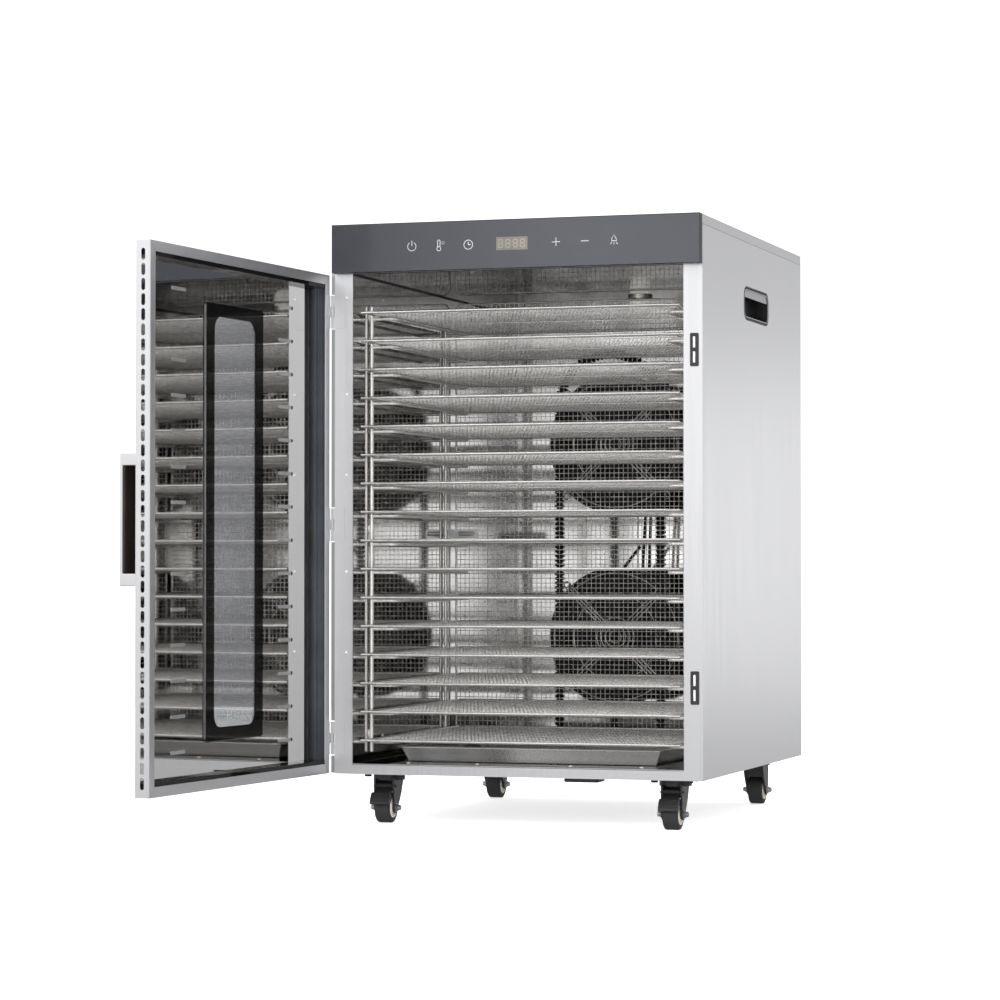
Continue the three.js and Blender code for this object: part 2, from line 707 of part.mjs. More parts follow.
// The moving half of a hinge: the middle knuckle and the plate on the door's upright wall.
function hingeLeaf(z) {
  const half = KNUCKLE / 2 - HINGE_PLAY;
  const wall = DOOR_LEFT - GAP;
  const edge = HINGE_Y - BARREL_RADIUS;
  const knuckle = bar("z", BARREL_RADIUS, [z - half, z + half], [HINGE_X, HINGE_Y, 0]);
  const plate = box([wall - 1, wall], [DOOR_FRONT + 1, edge + GAP], around(z, HINGE_LENGTH));
  const web = box([HINGE_X, wall], [edge, edge + 3 * GAP], [z - half, z + half]);
  const bore = bar("z", KNUCKLE_BORE, [z - KNUCKLE, z + KNUCKLE], [HINGE_X, HINGE_Y, 0]);
  return cut(join(knuckle, web, plate), bore);
}

// ---- Castors, drawn at the swivel axis with the wheel trailing towards -Y ----

const FORK_HALF = 11; // inside of the cheeks
const CHEEK = 2.5;
const HEAD_RADIUS = 20;
const HEAD_TOP = -CASTOR_PLATE_THICK - GAP;
const HEAD_BOTTOM = -10;
const PEDAL_PIVOT_Y = -CASTOR_TRAIL - 4;
const PEDAL_PIVOT_Z = -17;
const AXLE_RADIUS = 2.5;
const PEDAL_PIN = 1.5;
const PEDAL_INNER = 21.2;
const PEDAL_OUTER = 26.5;
const PEDAL_HALF = 10.3;
const TOE_HALF = 12.5;

function castorFork() {
  const head = bar("z", HEAD_RADIUS, [HEAD_BOTTOM, HEAD_TOP], [0, 0, 0], 20);
  const noseRadius = 7;
  const neck = HEAD_BOTTOM + 2;
  const outline = new THREE.Shape();
  outline.moveTo(16, neck);
  outline.lineTo(-HEAD_RADIUS, neck);
  outline.lineTo(-HEAD_RADIUS, PEDAL_PIVOT_Z - 2);
  outline.lineTo(-CASTOR_TRAIL - noseRadius, AXLE_Z);
  outline.absarc(-CASTOR_TRAIL, AXLE_Z, noseRadius, Math.PI, Math.PI * 2);
  outline.lineTo(8, -26);
  const cheeks = [-1, 1].map((side) => plateYZ(outline, onSide(side, FORK_HALF, FORK_HALF + CHEEK)));
  const length = FORK_HALF + CHEEK + 3;
  const axle = bar("x", AXLE_RADIUS, [-length, length], [0, -CASTOR_TRAIL, AXLE_Z]);
  const pinHole = bar("x", PEDAL_PIN + 0.6, [-length, length], [0, PEDAL_PIVOT_Y, PEDAL_PIVOT_Z], 8);
  return cut(join(head, cheeks, axle), pinHole);
}

// The flats of its rim are WHEEL_RADIUS from the axle, and one of them faces straight down.
function castorWheel() {
  const radius = WHEEL_RADIUS / Math.cos(Math.PI / WHEEL_SIDES);
  const half = WHEEL_WIDTH / 2;
  const shoulder = 4;
  const bore = AXLE_RADIUS + 0.5;
  const profile = [
    new THREE.Vector2(bore, -half),
    new THREE.Vector2(radius - shoulder, -half),
    new THREE.Vector2(radius, shoulder - half),
    new THREE.Vector2(radius, half - shoulder),
    new THREE.Vector2(radius - shoulder, half),
    new THREE.Vector2(bore, half),
    new THREE.Vector2(bore, -half),
  ];
  const geometry = new THREE.LatheGeometry(profile, WHEEL_SIDES);
  geometry.rotateY(Math.PI / WHEEL_SIDES);
  geometry.rotateZ(-Math.PI / 2);
  geometry.translate(0, -CASTOR_TRAIL, AXLE_Z);
  return solid(geometry);
}

// A curved strip around the wheel, between two radii and two angles from straight back.
function aroundWheel([inner, outer], [from, to], halfWidth, curveSegments) {
  const outline = new THREE.Shape();
  const [start, end] = [from, to].map(THREE.MathUtils.degToRad);
  outline.absarc(-CASTOR_TRAIL, AXLE_Z, outer, start, end);
  outline.absarc(-CASTOR_TRAIL, AXLE_Z, inner, end, start, true);
  return plateYZ(outline, [-halfWidth, halfWidth], curveSegments);
}

// A foot lever that follows the wheel's rim, with the pin that it turns on.
function brakePedal() {
  const [top, toeTop, tip] = [88, 134, 168];
  const pivot = [0, PEDAL_PIVOT_Y, PEDAL_PIVOT_Z];
  const lever = aroundWheel([PEDAL_INNER, PEDAL_OUTER], [top, tip], PEDAL_HALF, 7);
  const toe = aroundWheel([PEDAL_INNER + 1, PEDAL_OUTER + 1], [toeTop, tip], TOE_HALF, 4);
  const lug = bar("x", 4, [-PEDAL_HALF, PEDAL_HALF], pivot, 10);
  const pin = bar("x", PEDAL_PIN, [-15, 15], pivot, 8);
  return join(lever, toe, lug, pin);
}

// ---- Assembly ----

function piece(name, shape, material) {
  const mesh = new THREE.Mesh(geometryOf(shape), material);
  mesh.name = name;
  return mesh;
}

function cabinet() {
  const group = new THREE.Group();
  group.add(piece("base_pan", basePan(), satinSteel));
  group.add(piece("left_side_panel", sidePanel(-1), satinSteel));
  group.add(piece("right_side_panel", sidePanel(1), satinSteel));
  group.add(piece("top_cover", topCover(), satinSteel));
  group.add(piece("back_panel", backPanel(), satinSteel));
  group.add(piece("front_frame", frontFrame(), satinSteel));
  group.add(piece("chamber_liner", chamberLiner(), mirrorSteel));
  group.add(piece("control_fascia", controlFascia(), darkGlass));
  group.add(piece("control_board", controlBoard(), circuitBoard));
  group.add(piece("power_inlet", powerInlet(), blackPlastic));
  group.add(piece("side_handle_left", sideHandle(-1), blackPlastic));
  group.add(piece("side_handle_right", sideHandle(1), blackPlastic));
  group.add(piece("magnet_catch_upper", magnetCatch(MAGNET_HEIGHTS.upper), blackPlastic));
  group.add(piece("magnet_catch_lower", magnetCatch(MAGNET_HEIGHTS.lower), blackPlastic));
  return group;
}

function chamberFittings() {
  const group = new THREE.Group();
  group.add(piece("rack_left", rack(-1), wireSteel));
  group.add(piece("rack_right", rack(1), wireSteel));
  group.add(piece("rear_guard", rearGuard(), wireSteel));
  group.add(piece("fan_motor_upper", fanMotor(FAN_UPPER_Z), blackMetal));
  group.add(piece("fan_motor_lower", fanMotor(FAN_LOWER_Z), blackMetal));
  group.add(piece("fan_rotor_upper", fanRotor(FAN_UPPER_Z), blackMetal));
  group.add(piece("fan_rotor_lower", fanRotor(FAN_LOWER_Z), blackMetal));
  group.add(piece("heater", heater(), blackMetal));
  group.add(piece("temp_sensor", temperatureSensor(), zincPlate));
  group.add(piece("chamber_lamp", chamberLamp(), lampGlass));
  group.add(piece("drip_tray", dripTray(), satinSteel));
  for (let i = 0; i < TRAY_COUNT; i++) {
    const number = String(i + 1).padStart(2, "0");
    group.add(piece(`tray_${number}`, meshTray(trayHeight(i)), wireSteel));
  }
  return group;
}

// The door turns about its hinge axis, so its pieces hang in a group that stands there.
function door() {
  const hung = new THREE.Group();
  hung.position.set(-HINGE_X, -HINGE_Y, 0);
  hung.add(piece("door_frame", doorFrame(), satinSteel));
  hung.add(piece("door_inner_panel", doorInnerPanel(), mirrorSteel));
  hung.add(piece("window_glass", windowGlass(), clearGlass));
  hung.add(piece("window_gasket", windowGasket(), blackPlastic));
  hung.add(piece("door_handle", doorHandle(), satinSteel));
  hung.add(piece("door_handle_grip", doorHandleGrip(), blackPlastic));
  for (const [place, z] of Object.entries(HINGE_HEIGHTS))
    hung.add(piece(`hinge_leaf_${place}`, hingeLeaf(z), satinSteel));
  const swing = new THREE.Group();
  swing.position.set(HINGE_X, HINGE_Y, 0);
  swing.rotation.z = -THREE.MathUtils.degToRad(DOOR_OPEN_DEG);
  swing.add(hung);
  return swing;
}

function castors() {
  const group = new THREE.Group();
  for (const [end, y] of [
    ["front", CASTOR_FRONT_Y],
    ["rear", CASTOR_REAR_Y],
  ])
    for (const [side, x] of [
      ["left", -CASTOR_X],
      ["right", CASTOR_X],
    ]) {
      const castor = new THREE.Group();
      castor.position.set(x, y, 0);
      castor.rotation.z = end === "rear" ? Math.PI : 0;
      castor.add(piece(`castor_fork_${end}_${side}`, castorFork(), blackMetal));
      castor.add(piece(`castor_wheel_${end}_${side}`, castorWheel(), tyreRubber));
      if (end === "front") castor.add(piece(`brake_pedal_${side}`, brakePedal(), blackPlastic));
      group.add(castor);
    }
  return group;
}

// The whole object stands on Z = 0, with the middle of its box, door open, over the origin.
function dehydrator() {
  const object = new THREE.Group();
  object.add(cabinet(), chamberFittings(), door(), castors());
  object.updateMatrixWorld(true);
  const bounds = new THREE.Box3().setFromObject(object, true);
  const middle = bounds.getCenter(new THREE.Vector3());
  object.position.set(-middle.x, -middle.y, -bounds.min.z);
  const placed = new THREE.Group();
  placed.add(object);
  return placed;
}

export default dehydrator();
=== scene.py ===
import json
from math import copysign, cos, pi, radians, sin, sqrt, tan

import bmesh
import bpy
from mathutils import Matrix, Vector


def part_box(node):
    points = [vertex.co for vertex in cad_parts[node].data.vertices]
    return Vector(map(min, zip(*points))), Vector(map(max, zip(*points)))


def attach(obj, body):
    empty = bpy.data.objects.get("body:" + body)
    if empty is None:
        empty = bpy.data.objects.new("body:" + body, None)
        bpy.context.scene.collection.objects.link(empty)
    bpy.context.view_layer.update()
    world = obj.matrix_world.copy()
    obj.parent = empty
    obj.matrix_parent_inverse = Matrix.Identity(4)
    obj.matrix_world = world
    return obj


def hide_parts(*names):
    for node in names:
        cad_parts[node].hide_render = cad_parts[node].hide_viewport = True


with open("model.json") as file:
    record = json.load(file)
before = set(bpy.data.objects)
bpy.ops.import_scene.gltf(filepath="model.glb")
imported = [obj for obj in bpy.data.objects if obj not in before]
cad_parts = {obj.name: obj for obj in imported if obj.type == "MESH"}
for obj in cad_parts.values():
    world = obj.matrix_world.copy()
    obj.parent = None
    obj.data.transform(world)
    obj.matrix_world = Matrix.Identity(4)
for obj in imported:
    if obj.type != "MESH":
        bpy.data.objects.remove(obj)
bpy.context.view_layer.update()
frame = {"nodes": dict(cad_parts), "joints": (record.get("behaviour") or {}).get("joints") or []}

# The looks of a tray dehydrator. Pieces are drawn in millimetres in the cabinet's frame: X = 0 is its
# middle, Y = 0 the plane that the door closes against, Z = 0 its underside. Door pieces are drawn with
# the door closed, and castor pieces at their swivel axis; each space's matrix carries them to the row frame.

MM = 0.001
ORIGIN = Vector((
    (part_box("base_pan")[0].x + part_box("base_pan")[1].x) / 2,
    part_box("top_cover")[0].y,
    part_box("left_side_panel")[0].z,
))
CABINET = Matrix.Translation(ORIGIN) @ Matrix.Scale(MM, 4)
JOINTS = {joint["name"]: joint for joint in frame["joints"]}


def joint_place(name):
    """A joint's place in cabinet millimetres."""
    return CABINET.inverted() @ Vector(JOINTS[name]["pos_m"])


def door_space():
    hinge = joint_place("door_swing")
    opened = radians(JOINTS["door_swing"]["range_deg"][0])
    turn = Matrix.Rotation(opened, 4, "Z")
    return CABINET @ Matrix.Translation(hinge) @ turn @ Matrix.Translation(-hinge)


def castor_space(corner):
    swivel = joint_place(f"castor_swivel_{corner}")
    turn = Matrix.Rotation(pi if corner.startswith("rear") else 0.0, 4, "Z")
    return CABINET @ Matrix.Translation((swivel.x, swivel.y, 0)) @ turn


DOOR = door_space()
TRAYS = sorted(name for name in frame["nodes"] if name.startswith("tray_"))
CORNERS = ("front_left", "front_right", "rear_left", "rear_right")


def extent(node, space=CABINET):
    """Lowest and highest corner of a CAD node, in millimetres in this space."""
    back = space.inverted()
    points = [back @ vertex.co for vertex in frame["nodes"][node].data.vertices]
    low = Vector([min(p[axis] for p in points) for axis in range(3)])
    high = Vector([max(p[axis] for p in points) for axis in range(3)])
    return low, high


# ---- Finishes ----


def connect(tree, socket, source):
    """Link a socket to another node's output, or set its value."""
    if isinstance(source, bpy.types.NodeSocket):
        tree.links.new(source, socket)
    else:
        socket.default_value = source


def add_node(tree, kind, **inputs):
    node = tree.nodes.new(f"ShaderNode{kind}")
    for name, source in inputs.items():
        connect(tree, node.inputs[name.replace("_", " ")], source)
    return node


def add_ramp(tree, source, stops):
    """A colour ramp with stops of (position, colour)."""
    ramp = add_node(tree, "ValToRGB", Fac=source)
    elements = ramp.color_ramp.elements
    while len(elements) < len(stops):
        elements.new(0.5)
    for element, (position, color) in zip(elements, stops):
        element.position = position
        element.color = (*color, 1)
    return ramp.outputs["Color"]


def scaled(color, share):
    return [channel * share for channel in color]


class Finish:
    """A procedural material and the record's slot that it stands for."""

    def __init__(self, name, slot, color, roughness, metallic=0.0, **sockets):
        self.slot = slot
        self.material = bpy.data.materials.new(name)
        self.material.use_nodes = True
        self.tree = self.material.node_tree
        self.shader = self.tree.nodes["Principled BSDF"]
        self.shader.inputs["Base Color"].default_value = (*color, 1)
        self.shader.inputs["Roughness"].default_value = roughness
        self.shader.inputs["Metallic"].default_value = metallic
        for socket, value in sockets.items():
            self.shader.inputs[socket.replace("_", " ")].default_value = value

    def noise(self, stretch, detail=3.0):
        """Noise with this many features per metre along X, Y and Z."""
        place = add_node(self.tree, "TexCoord").outputs["Object"]
        mapping = add_node(self.tree, "Mapping", Vector=place, Scale=stretch)
        texture = add_node(
            self.tree, "TexNoise", Vector=mapping.outputs["Vector"], Scale=1.0, Detail=detail, Roughness=0.55,
        )
        return texture.outputs["Fac"]

    def follow(self, output, socket):
        self.tree.links.new(output, self.shader.inputs[socket])
        return self

    def rough(self, source, low, high):
        """Roughness that follows a pattern."""
        spread = add_node(
            self.tree, "MapRange", Value=source, From_Min=0.3, From_Max=0.7, To_Min=low, To_Max=high,
        )
        return self.follow(spread.outputs["Result"], "Roughness")

    def colors(self, source, dark, light):
        """Colour that follows a pattern."""
        return self.follow(add_ramp(self.tree, source, ((0.32, dark), (0.68, light))), "Base Color")

    def relief(self, source, strength, depth_mm):
        """Bump from a pattern; calls add up."""
        bump = add_node(self.tree, "Bump", Height=source, Strength=strength, Distance=depth_mm * MM)
        socket = self.shader.inputs["Normal"]
        if socket.is_linked:
            self.tree.links.new(socket.links[0].from_socket, bump.inputs["Normal"])
        return self.follow(bump.outputs["Normal"], "Normal")


def satin_steel(name, along, tone=0.80):
    """Sheet steel brushed along one axis."""
    stretch = [5.0 if axis == along else 620.0 for axis in range(3)]
    dark, light = scaled((0.95, 0.955, 0.965), tone), scaled((1, 1.002, 1.008), tone)
    finish = Finish(name, "satin_steel", light, 0.36, 1.0)
    brushing = finish.noise(stretch, 2.0)
    finish.colors(brushing, dark, light).rough(brushing, 0.31, 0.42).relief(brushing, 0.10, 0.05)
    return finish.relief(finish.noise([5] * 3, 1.0), 0.12, 1.0)


def mirror_steel(name, tone, waves, roughness=0.05, size=11):
    """Polished sheet, a little wavy, with faint smears."""
    finish = Finish(name, "mirror_steel", scaled((1, 0.99, 0.975), tone), roughness, 1.0)
    finish.rough(finish.noise([18, 18, 30], 4.0), roughness, roughness + 0.03)
    return finish.relief(finish.noise([size] * 3, 1.0), waves, 2.0)


def bright_wire(name, tone, roughness, metallic=1.0):
    """Drawn wire; a lower metallic share makes it paler from every side."""
    finish = Finish(name, "wire_steel", scaled((1, 0.98, 0.95), tone), roughness, metallic)
    pattern = finish.noise([120] * 3)
    finish.colors(pattern, scaled((0.86, 0.84, 0.81), tone), scaled((1, 0.98, 0.955), tone))
    return finish.rough(pattern, roughness - 0.05, roughness + 0.08)


def coated(name, slot, color, roughness, grain=900.0, depth_mm=0.05, metallic=0.0):
    """Moulded plastic, paint, plating or rubber with a fine grain."""
    finish = Finish(name, slot, color, roughness, metallic)
    pattern = finish.noise([grain] * 3, 2.0)
    finish.colors(finish.noise([25] * 3), scaled(color, 0.8), scaled(color, 1.15))
    finish.rough(pattern, roughness - 0.06, roughness + 0.08)
    return finish.relief(pattern, 0.25, depth_mm)


def fascia_glass():
    finish = Finish(
        "fascia_glass", "fascia_panel", (0.010, 0.012, 0.018), 0.16, Coat_Weight=1.0, Coat_Roughness=0.04,
    )
    finish.rough(finish.noise([30, 30, 60]), 0.13, 0.2)
    return finish.relief(finish.noise([4] * 3, 1.0), 0.05, 1.0)


def window_glass():
    """Glass with a grey, half reflecting film."""
    finish = Finish(
        "tinted_glass", "clear_glass", (0.36, 0.37, 0.385), 0.0,
        Transmission_Weight=1.0, IOR=1.45, Coat_Weight=1.0, Coat_IOR=3.2, Coat_Roughness=0.0,
    )
    return finish.relief(finish.noise([7] * 3, 1.0), 0.03, 1.0)


def black_glass():
    finish = Finish(
        "black_enamel", "black_plastic", (0.002, 0.002, 0.002), 0.04,
        Specular_IOR_Level=0.1, Coat_Weight=0.15, Coat_IOR=1.4, Coat_Roughness=0.01,
    )
    return finish.rough(finish.noise([30] * 3), 0.03, 0.07)


def glowing(name, slot, color, strength):
    finish = Finish(name, slot, color, 0.3, Emission_Color=(*color, 1), Emission_Strength=strength)
    return finish.rough(finish.noise([200] * 3, 2.0), 0.25, 0.4)


UPRIGHT_STEEL = satin_steel("satin_steel_upright", 2)
LENGTH_STEEL = satin_steel("satin_steel_lengthwise", 1, 0.74)
CROSS_STEEL = satin_steel("satin_steel_crosswise", 0)
PALE_STEEL = satin_steel("satin_steel_pale", 2, 0.87)
CHAMBER_STEEL = mirror_steel("chamber_steel", 0.66, 0.03, 0.03, 7)
# Painted shade: the ceiling lining is the chamber's steel made much darker.
CEILING_STEEL_PAINTED_SHADE = mirror_steel("ceiling_steel_painted_shade", 0.20, 0.02, 0.02, 7)
# Painted light: the rear lining is the chamber's steel made lighter.
REAR_STEEL_PAINTED_LIGHT = mirror_steel("rear_steel_painted_light", 0.99, 0.03, 0.07, 7)
DOOR_MIRROR = mirror_steel("door_mirror_steel", 0.80, 0.05, 0.012, 5)
DULL_STEEL = satin_steel("dull_steel", 1, 0.5)
PAN_STEEL = mirror_steel("pan_steel", 0.36, 0.10, 0.12)
RAIL_WIRE = bright_wire("rail_wire", 0.90, 0.16, 0.75)
RIM_WIRE = bright_wire("rim_wire", 0.90, 0.18)
MESH_WIRE = bright_wire("mesh_wire", 0.64, 0.26, 0.2)
GUARD_WIRE = bright_wire("guard_wire", 0.90, 0.26, 0.5)
ZINC = coated("zinc_plating", "zinc_plate", (0.62, 0.64, 0.67), 0.34, 400.0, 0.03, 1.0)
BRACKET = coated("bracket_zinc", "zinc_plate", (0.86, 0.87, 0.88), 0.34, 400.0, 0.03, 0.3)
BLACK_PLASTIC = coated("black_plastic", "black_plastic", (0.012, 0.012, 0.013), 0.42)
BROWN_LINING = coated("brown_black_lining", "black_plastic", (0.035, 0.026, 0.022), 0.4)
BLACK_METAL = coated("black_paint", "black_metal", (0.014, 0.014, 0.016), 0.34, 500.0)
FAN_BLACK = coated("fan_black", "black_metal", (0.009, 0.009, 0.010), 0.72, 500.0)
TYRE = coated("tyre_rubber", "tyre_rubber", (0.016, 0.016, 0.017), 0.62, 600.0, 0.08)
HUB_CREAM = coated("hub_cream", "tyre_rubber", (0.55, 0.51, 0.43), 0.42)
BOARD = coated("board_green", "circuit_board", (0.03, 0.13, 0.06), 0.5)
# Painted shade: a dark sheet standing in for the shade behind the door's hinge-side slots and along the
# mirror's hinge edge.
SHADE_BACKING = coated("dark_shade_backing", "black_plastic", (0.05, 0.055, 0.065), 0.5)
FASCIA = fascia_glass()
PRINT = coated("fascia_print", "fascia_panel", (0.40, 0.41, 0.45), 0.5)
DISPLAY = coated("display_window", "fascia_panel", (0.14, 0.132, 0.108), 0.3)
DIGITS = coated("display_digits", "fascia_panel", (0.25, 0.22, 0.20), 0.4)
WINDOW = window_glass()
BORDER = black_glass()
LAMP = glowing("lamp_glow", "lamp_glass", (0.95, 0.92, 0.86), 0.25)


# ---- Shapes ----


class Shape:
    """Closed bodies in millimetres, gathered until they become one piece."""

    def __init__(self):
        self.points = []
        self.faces = []

    def add(self, points, faces):
        first = len(self.points)
        self.points.extend(Vector(p) for p in points)
        self.faces.extend([first + i for i in face] for face in faces)
        return self

    def loft(self, rings, closed=False):
        """A skin over rings of equal count, capped at both ends unless it closes on itself."""
        count, size = len(rings), len(rings[0])
        faces = []
        for i in range(count if closed else count - 1):
            a, b = i * size, (i + 1) % count * size
            faces += [(a + k, a + (k + 1) % size, b + (k + 1) % size, b + k) for k in range(size)]
        if not closed:
            faces += [tuple(range(size)), tuple(range((count - 1) * size, count * size))]
        return self.add([p for ring in rings for p in ring], faces)

    def box(self, xs, ys, zs):
        return self.loft([[(x, y, z) for x, y in rectangle(xs, ys)] for z in zs])

    def prism(self, outline, axis, near, far):
        """An outline in the two other axes, in order, carried along one axis."""
        return self.loft([[lifted(u, v, axis, along) for u, v in outline] for along in (near, far)])

    def plate(self, outline, holes, axis, near, far):
        """A prism with holes through it."""
        work = bmesh.new()
        edges = []
        for loop in (outline, *holes):
            corners = [work.verts.new((u, v, 0)) for u, v in loop]
            edges += [work.edges.new((corners[i - 1], corners[i])) for i in range(len(corners))]
        bmesh.ops.triangle_fill(work, use_beauty=True, use_dissolve=False, edges=edges)
        bmesh.ops.dissolve_limit(work, angle_limit=0.01, verts=work.verts[:], edges=work.edges[:])
        raised = bmesh.ops.extrude_face_region(work, geom=work.faces[:], use_keep_orig=True)
        for vertex in [item for item in raised["geom"] if isinstance(item, bmesh.types.BMVert)]:
            vertex.co.z = 1
        for v in work.verts:
            v.co = lifted(v.co.x, v.co.y, axis, far if v.co.z > 0.5 else near)
        return self.take(work)

    def tube(self, path, radius, sides=8, closed=False):
        """A round wire along a path."""
        path = [Vector(p) for p in path]
        rings, normal = [], None
        for i, point in enumerate(path):
            before = path[i - 1] if closed or i else point
            after = path[(i + 1) % len(path)] if closed or i + 1 < len(path) else point
            tangent = ((point - before).normalized() + (after - point).normalized()).normalized()
            normal = tangent.orthogonal() if normal is None else normal - normal.dot(tangent) * tangent
            normal.normalize()
            side = tangent.cross(normal)
            rings.append([point + radius * (c * normal + s * side) for c, s in circle(sides)])
        return self.loft(rings, closed)

    def turned(self, profile, centre, axis=1, sides=32):
        """A profile of (radius, along) turned about an axis; it ends on the axis or closes on itself."""
        centre, solid = Vector(centre), profile[0][0] == 0
        return self.loft([
            [centre + lifted(radius * c, radius * s, axis, along) for c, s in circle(sides)]
            for radius, along in (profile[1:-1] if solid else profile)
        ], closed=not solid)

    def stack(self, centre, direction, levels, sides):
        """Rings of (radius, rise) about a direction."""
        centre, direction = Vector(centre), Vector(direction).normalized()
        across = direction.orthogonal().normalized()
        side = direction.cross(across)
        return self.loft([
            [centre + rise * direction + radius * (c * across + s * side) for c, s in circle(sides)]
            for radius, rise in levels
        ])

    def knob(self, centre, direction, radius, height, sides=16):
        """A low dome with a flat recess, for screw heads and rivets."""
        levels = ((1, 0), (1, 0.35), (0.86, 0.75), (0.62, 1), (0.4, 1), (0.34, 0.6))
        return self.stack(centre, direction, [(r * radius, rise * height) for r, rise in levels], sides)

    def hexagon(self, centre, direction, radius, height):
        """A chamfered nut or bolt head."""
        levels = ((radius, 0), (radius, 0.8 * height), (0.86 * radius, height))
        return self.stack(centre, direction, levels, 6)

    def node(self, name, space=CABINET):
        """The CAD node's own shape, with its facets merged into flat faces."""
        work = bmesh.new()
        work.from_mesh(frame["nodes"][name].data)
        bmesh.ops.transform(work, matrix=space.inverted(), verts=work.verts[:])
        bmesh.ops.remove_doubles(work, verts=work.verts[:], dist=0.002)
        bmesh.ops.dissolve_limit(work, angle_limit=0.01, verts=work.verts[:], edges=work.edges[:])
        return self.take(work)

    def take(self, work):
        """The points and faces of a working mesh, which is then let go."""
        work.verts.index_update()
        self.add([v.co for v in work.verts], [[v.index for v in face.verts] for face in work.faces])
        work.free()
        return self


def around(middle, size):
    return middle - size / 2, middle + size / 2


def rectangle(us, vs):
    return [(us[0], vs[0]), (us[1], vs[0]), (us[1], vs[1]), (us[0], vs[1])]


def circle(sides):
    turns = [2 * pi * k / sides for k in range(sides)]
    return [(cos(turn), sin(turn)) for turn in turns]


def lifted(u, v, axis, along):
    """A point from its place in a plane and its place along the axis that crosses it."""
    place = [u, v]
    place.insert(axis, along)
    return Vector(place)


def rounded_rectangle(us, vs, radius, steps=6):
    points = []
    for quarter, (i, j) in enumerate(((1, 0), (1, 1), (0, 1), (0, 0))):
        middle_u = us[i] + (radius if i == 0 else -radius)
        middle_v = vs[j] + (radius if j == 0 else -radius)
        for k in range(steps + 1):
            turn = radians(90 * (quarter - 1 + k / steps))
            points.append((middle_u + radius * cos(turn), middle_v + radius * sin(turn)))
    return points


def filleted(points, radius, steps=5):
    """An open path with each inner corner rounded."""
    points = [Vector(p) for p in points]
    path = [points[0]]
    for before, corner, after in zip(points, points[1:], points[2:]):
        a, b = (before - corner).normalized(), (after - corner).normalized()
        half = a.angle(b) / 2
        middle = corner + (a + b).normalized() * radius / sin(half)
        start = (corner + a * radius / tan(half) - middle).normalized()
        end = (corner + b * radius / tan(half) - middle).normalized()
        path += [middle + radius * start.slerp(end, k / steps) for k in range(steps + 1)]
    return [*path, points[-1]]


def placed(name, data):
    """A new object in the scene."""
    made = bpy.data.objects.new(name, data)
    bpy.context.scene.collection.objects.link(made)
    return made


def piece(name, shape, finish, stands_for, body="root", space=CABINET, bevel=0.0, smooth=38):
    """The shape as one object that rides on a body and stands for CAD nodes; bevel is in millimetres."""
    work = bmesh.new()
    points = [work.verts.new(p) for p in shape.points]
    for face in shape.faces:
        work.faces.new([points[i] for i in face])
    bmesh.ops.recalc_face_normals(work, faces=work.faces[:])
    if bevel:
        sharp = [e for e in work.edges if e.is_manifold and e.calc_face_angle(0) > radians(25)]
        bmesh.ops.bevel(
            work, geom=sharp, offset=bevel, segments=2, profile=0.5, affect="EDGES", clamp_overlap=True,
        )
    bmesh.ops.transform(work, matrix=space, verts=work.verts[:])
    mesh = bpy.data.meshes.new(name)
    work.to_mesh(mesh)
    work.free()
    mesh.shade_smooth()
    mesh.set_sharp_from_angle(angle=radians(smooth))
    mesh.materials.append(finish.material)
    made = placed(name, mesh)
    made.modifiers.new("even_normals", "WEIGHTED_NORMAL").keep_sharp = True
    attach(made, body)
    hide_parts(*stands_for.split())
    return made


def refined(node, finish, bevel, name=None, body="root", space=CABINET, smooth=38):
    """A CAD node with softened edges."""
    shape = Shape().node(node, space)
    return piece(name or f"{node}_shell", shape, finish, node, body, space, bevel, smooth)


# ---- Cabinet ----

CASTOR_PLATE = (60, 50)
PLATE_THICK = 2.5
SHEET = 1.2
SEAM = 1.8
HINGE_CUT = 1
LINING_DEPTH = (1.7, 1.1)


def cabinet_shell():
    """The CAD's sheets, and polished linings on the chamber's rear wall and ceiling; the linings are the
    liner's own steel, with painted light on the rear one, which is made lighter, and painted shade on the
    ceiling one, which is made much darker.
    """
    refined("left_side_panel", UPRIGHT_STEEL, 0.35)
    refined("right_side_panel", UPRIGHT_STEEL, 0.35)
    refined("top_cover", LENGTH_STEEL, 0.45)
    refined("back_panel", UPRIGHT_STEEL, 0.3)
    refined("front_frame", PALE_STEEL, 0.22, smooth=32)
    refined("chamber_liner", CHAMBER_STEEL, 0.25)
    low, high = extent("chamber_liner")
    xs = (low.x + SHEET, high.x - SHEET)
    rear_ys, ceiling_zs = ([edge - depth for depth in LINING_DEPTH] for edge in (high.y, high.z))
    # Painted light on the rear lining and painted shade on the ceiling lining, by their tones.
    rear = Shape().box(xs, rear_ys, (low.z + SHEET, high.z - SHEET))
    piece("chamber_rear_sheet", rear, REAR_STEEL_PAINTED_LIGHT, "chamber_liner")
    ceiling = Shape().box(xs, (low.y + 0.5, high.y - 2), ceiling_zs)
    piece("chamber_ceiling_sheet", ceiling, CEILING_STEEL_PAINTED_SHADE, "chamber_liner")
    seams, top = Shape(), ceiling_zs[0]
    for x in xs:
        inner = x + copysign(SEAM, -x)
        seams.prism([(x, top), (inner, top), (x, top - SEAM)], 1, low.y + 1, high.y - 2)
    piece("chamber_seams", seams, BLACK_PLASTIC, "chamber_liner")


def hinge_strip():
    """A folded edge that closes the gap behind the hinges, cut out around each of them."""
    low, high = extent("front_frame")
    axis = joint_place("door_swing")
    wall = extent("left_side_panel")[0].x
    stops = [low.z + 1]
    for place in ("bottom", "middle", "top"):
        leaf = extent(f"hinge_leaf_{place}", DOOR)
        stops += [leaf[0].z - HINGE_CUT, leaf[1].z + HINGE_CUT]
    stops.append(high.z - 1)
    strip = Shape()
    for zs in zip(stops[::2], stops[1::2]):
        strip.box((axis.x - 2, wall + 1), (axis.y + 0.4, axis.y + 1.2), zs)
    piece("hinge_side_strip", strip, DULL_STEEL, "front_frame", bevel=0.15)


PLATE_CORNER = 5
BOLT_INSET = 8


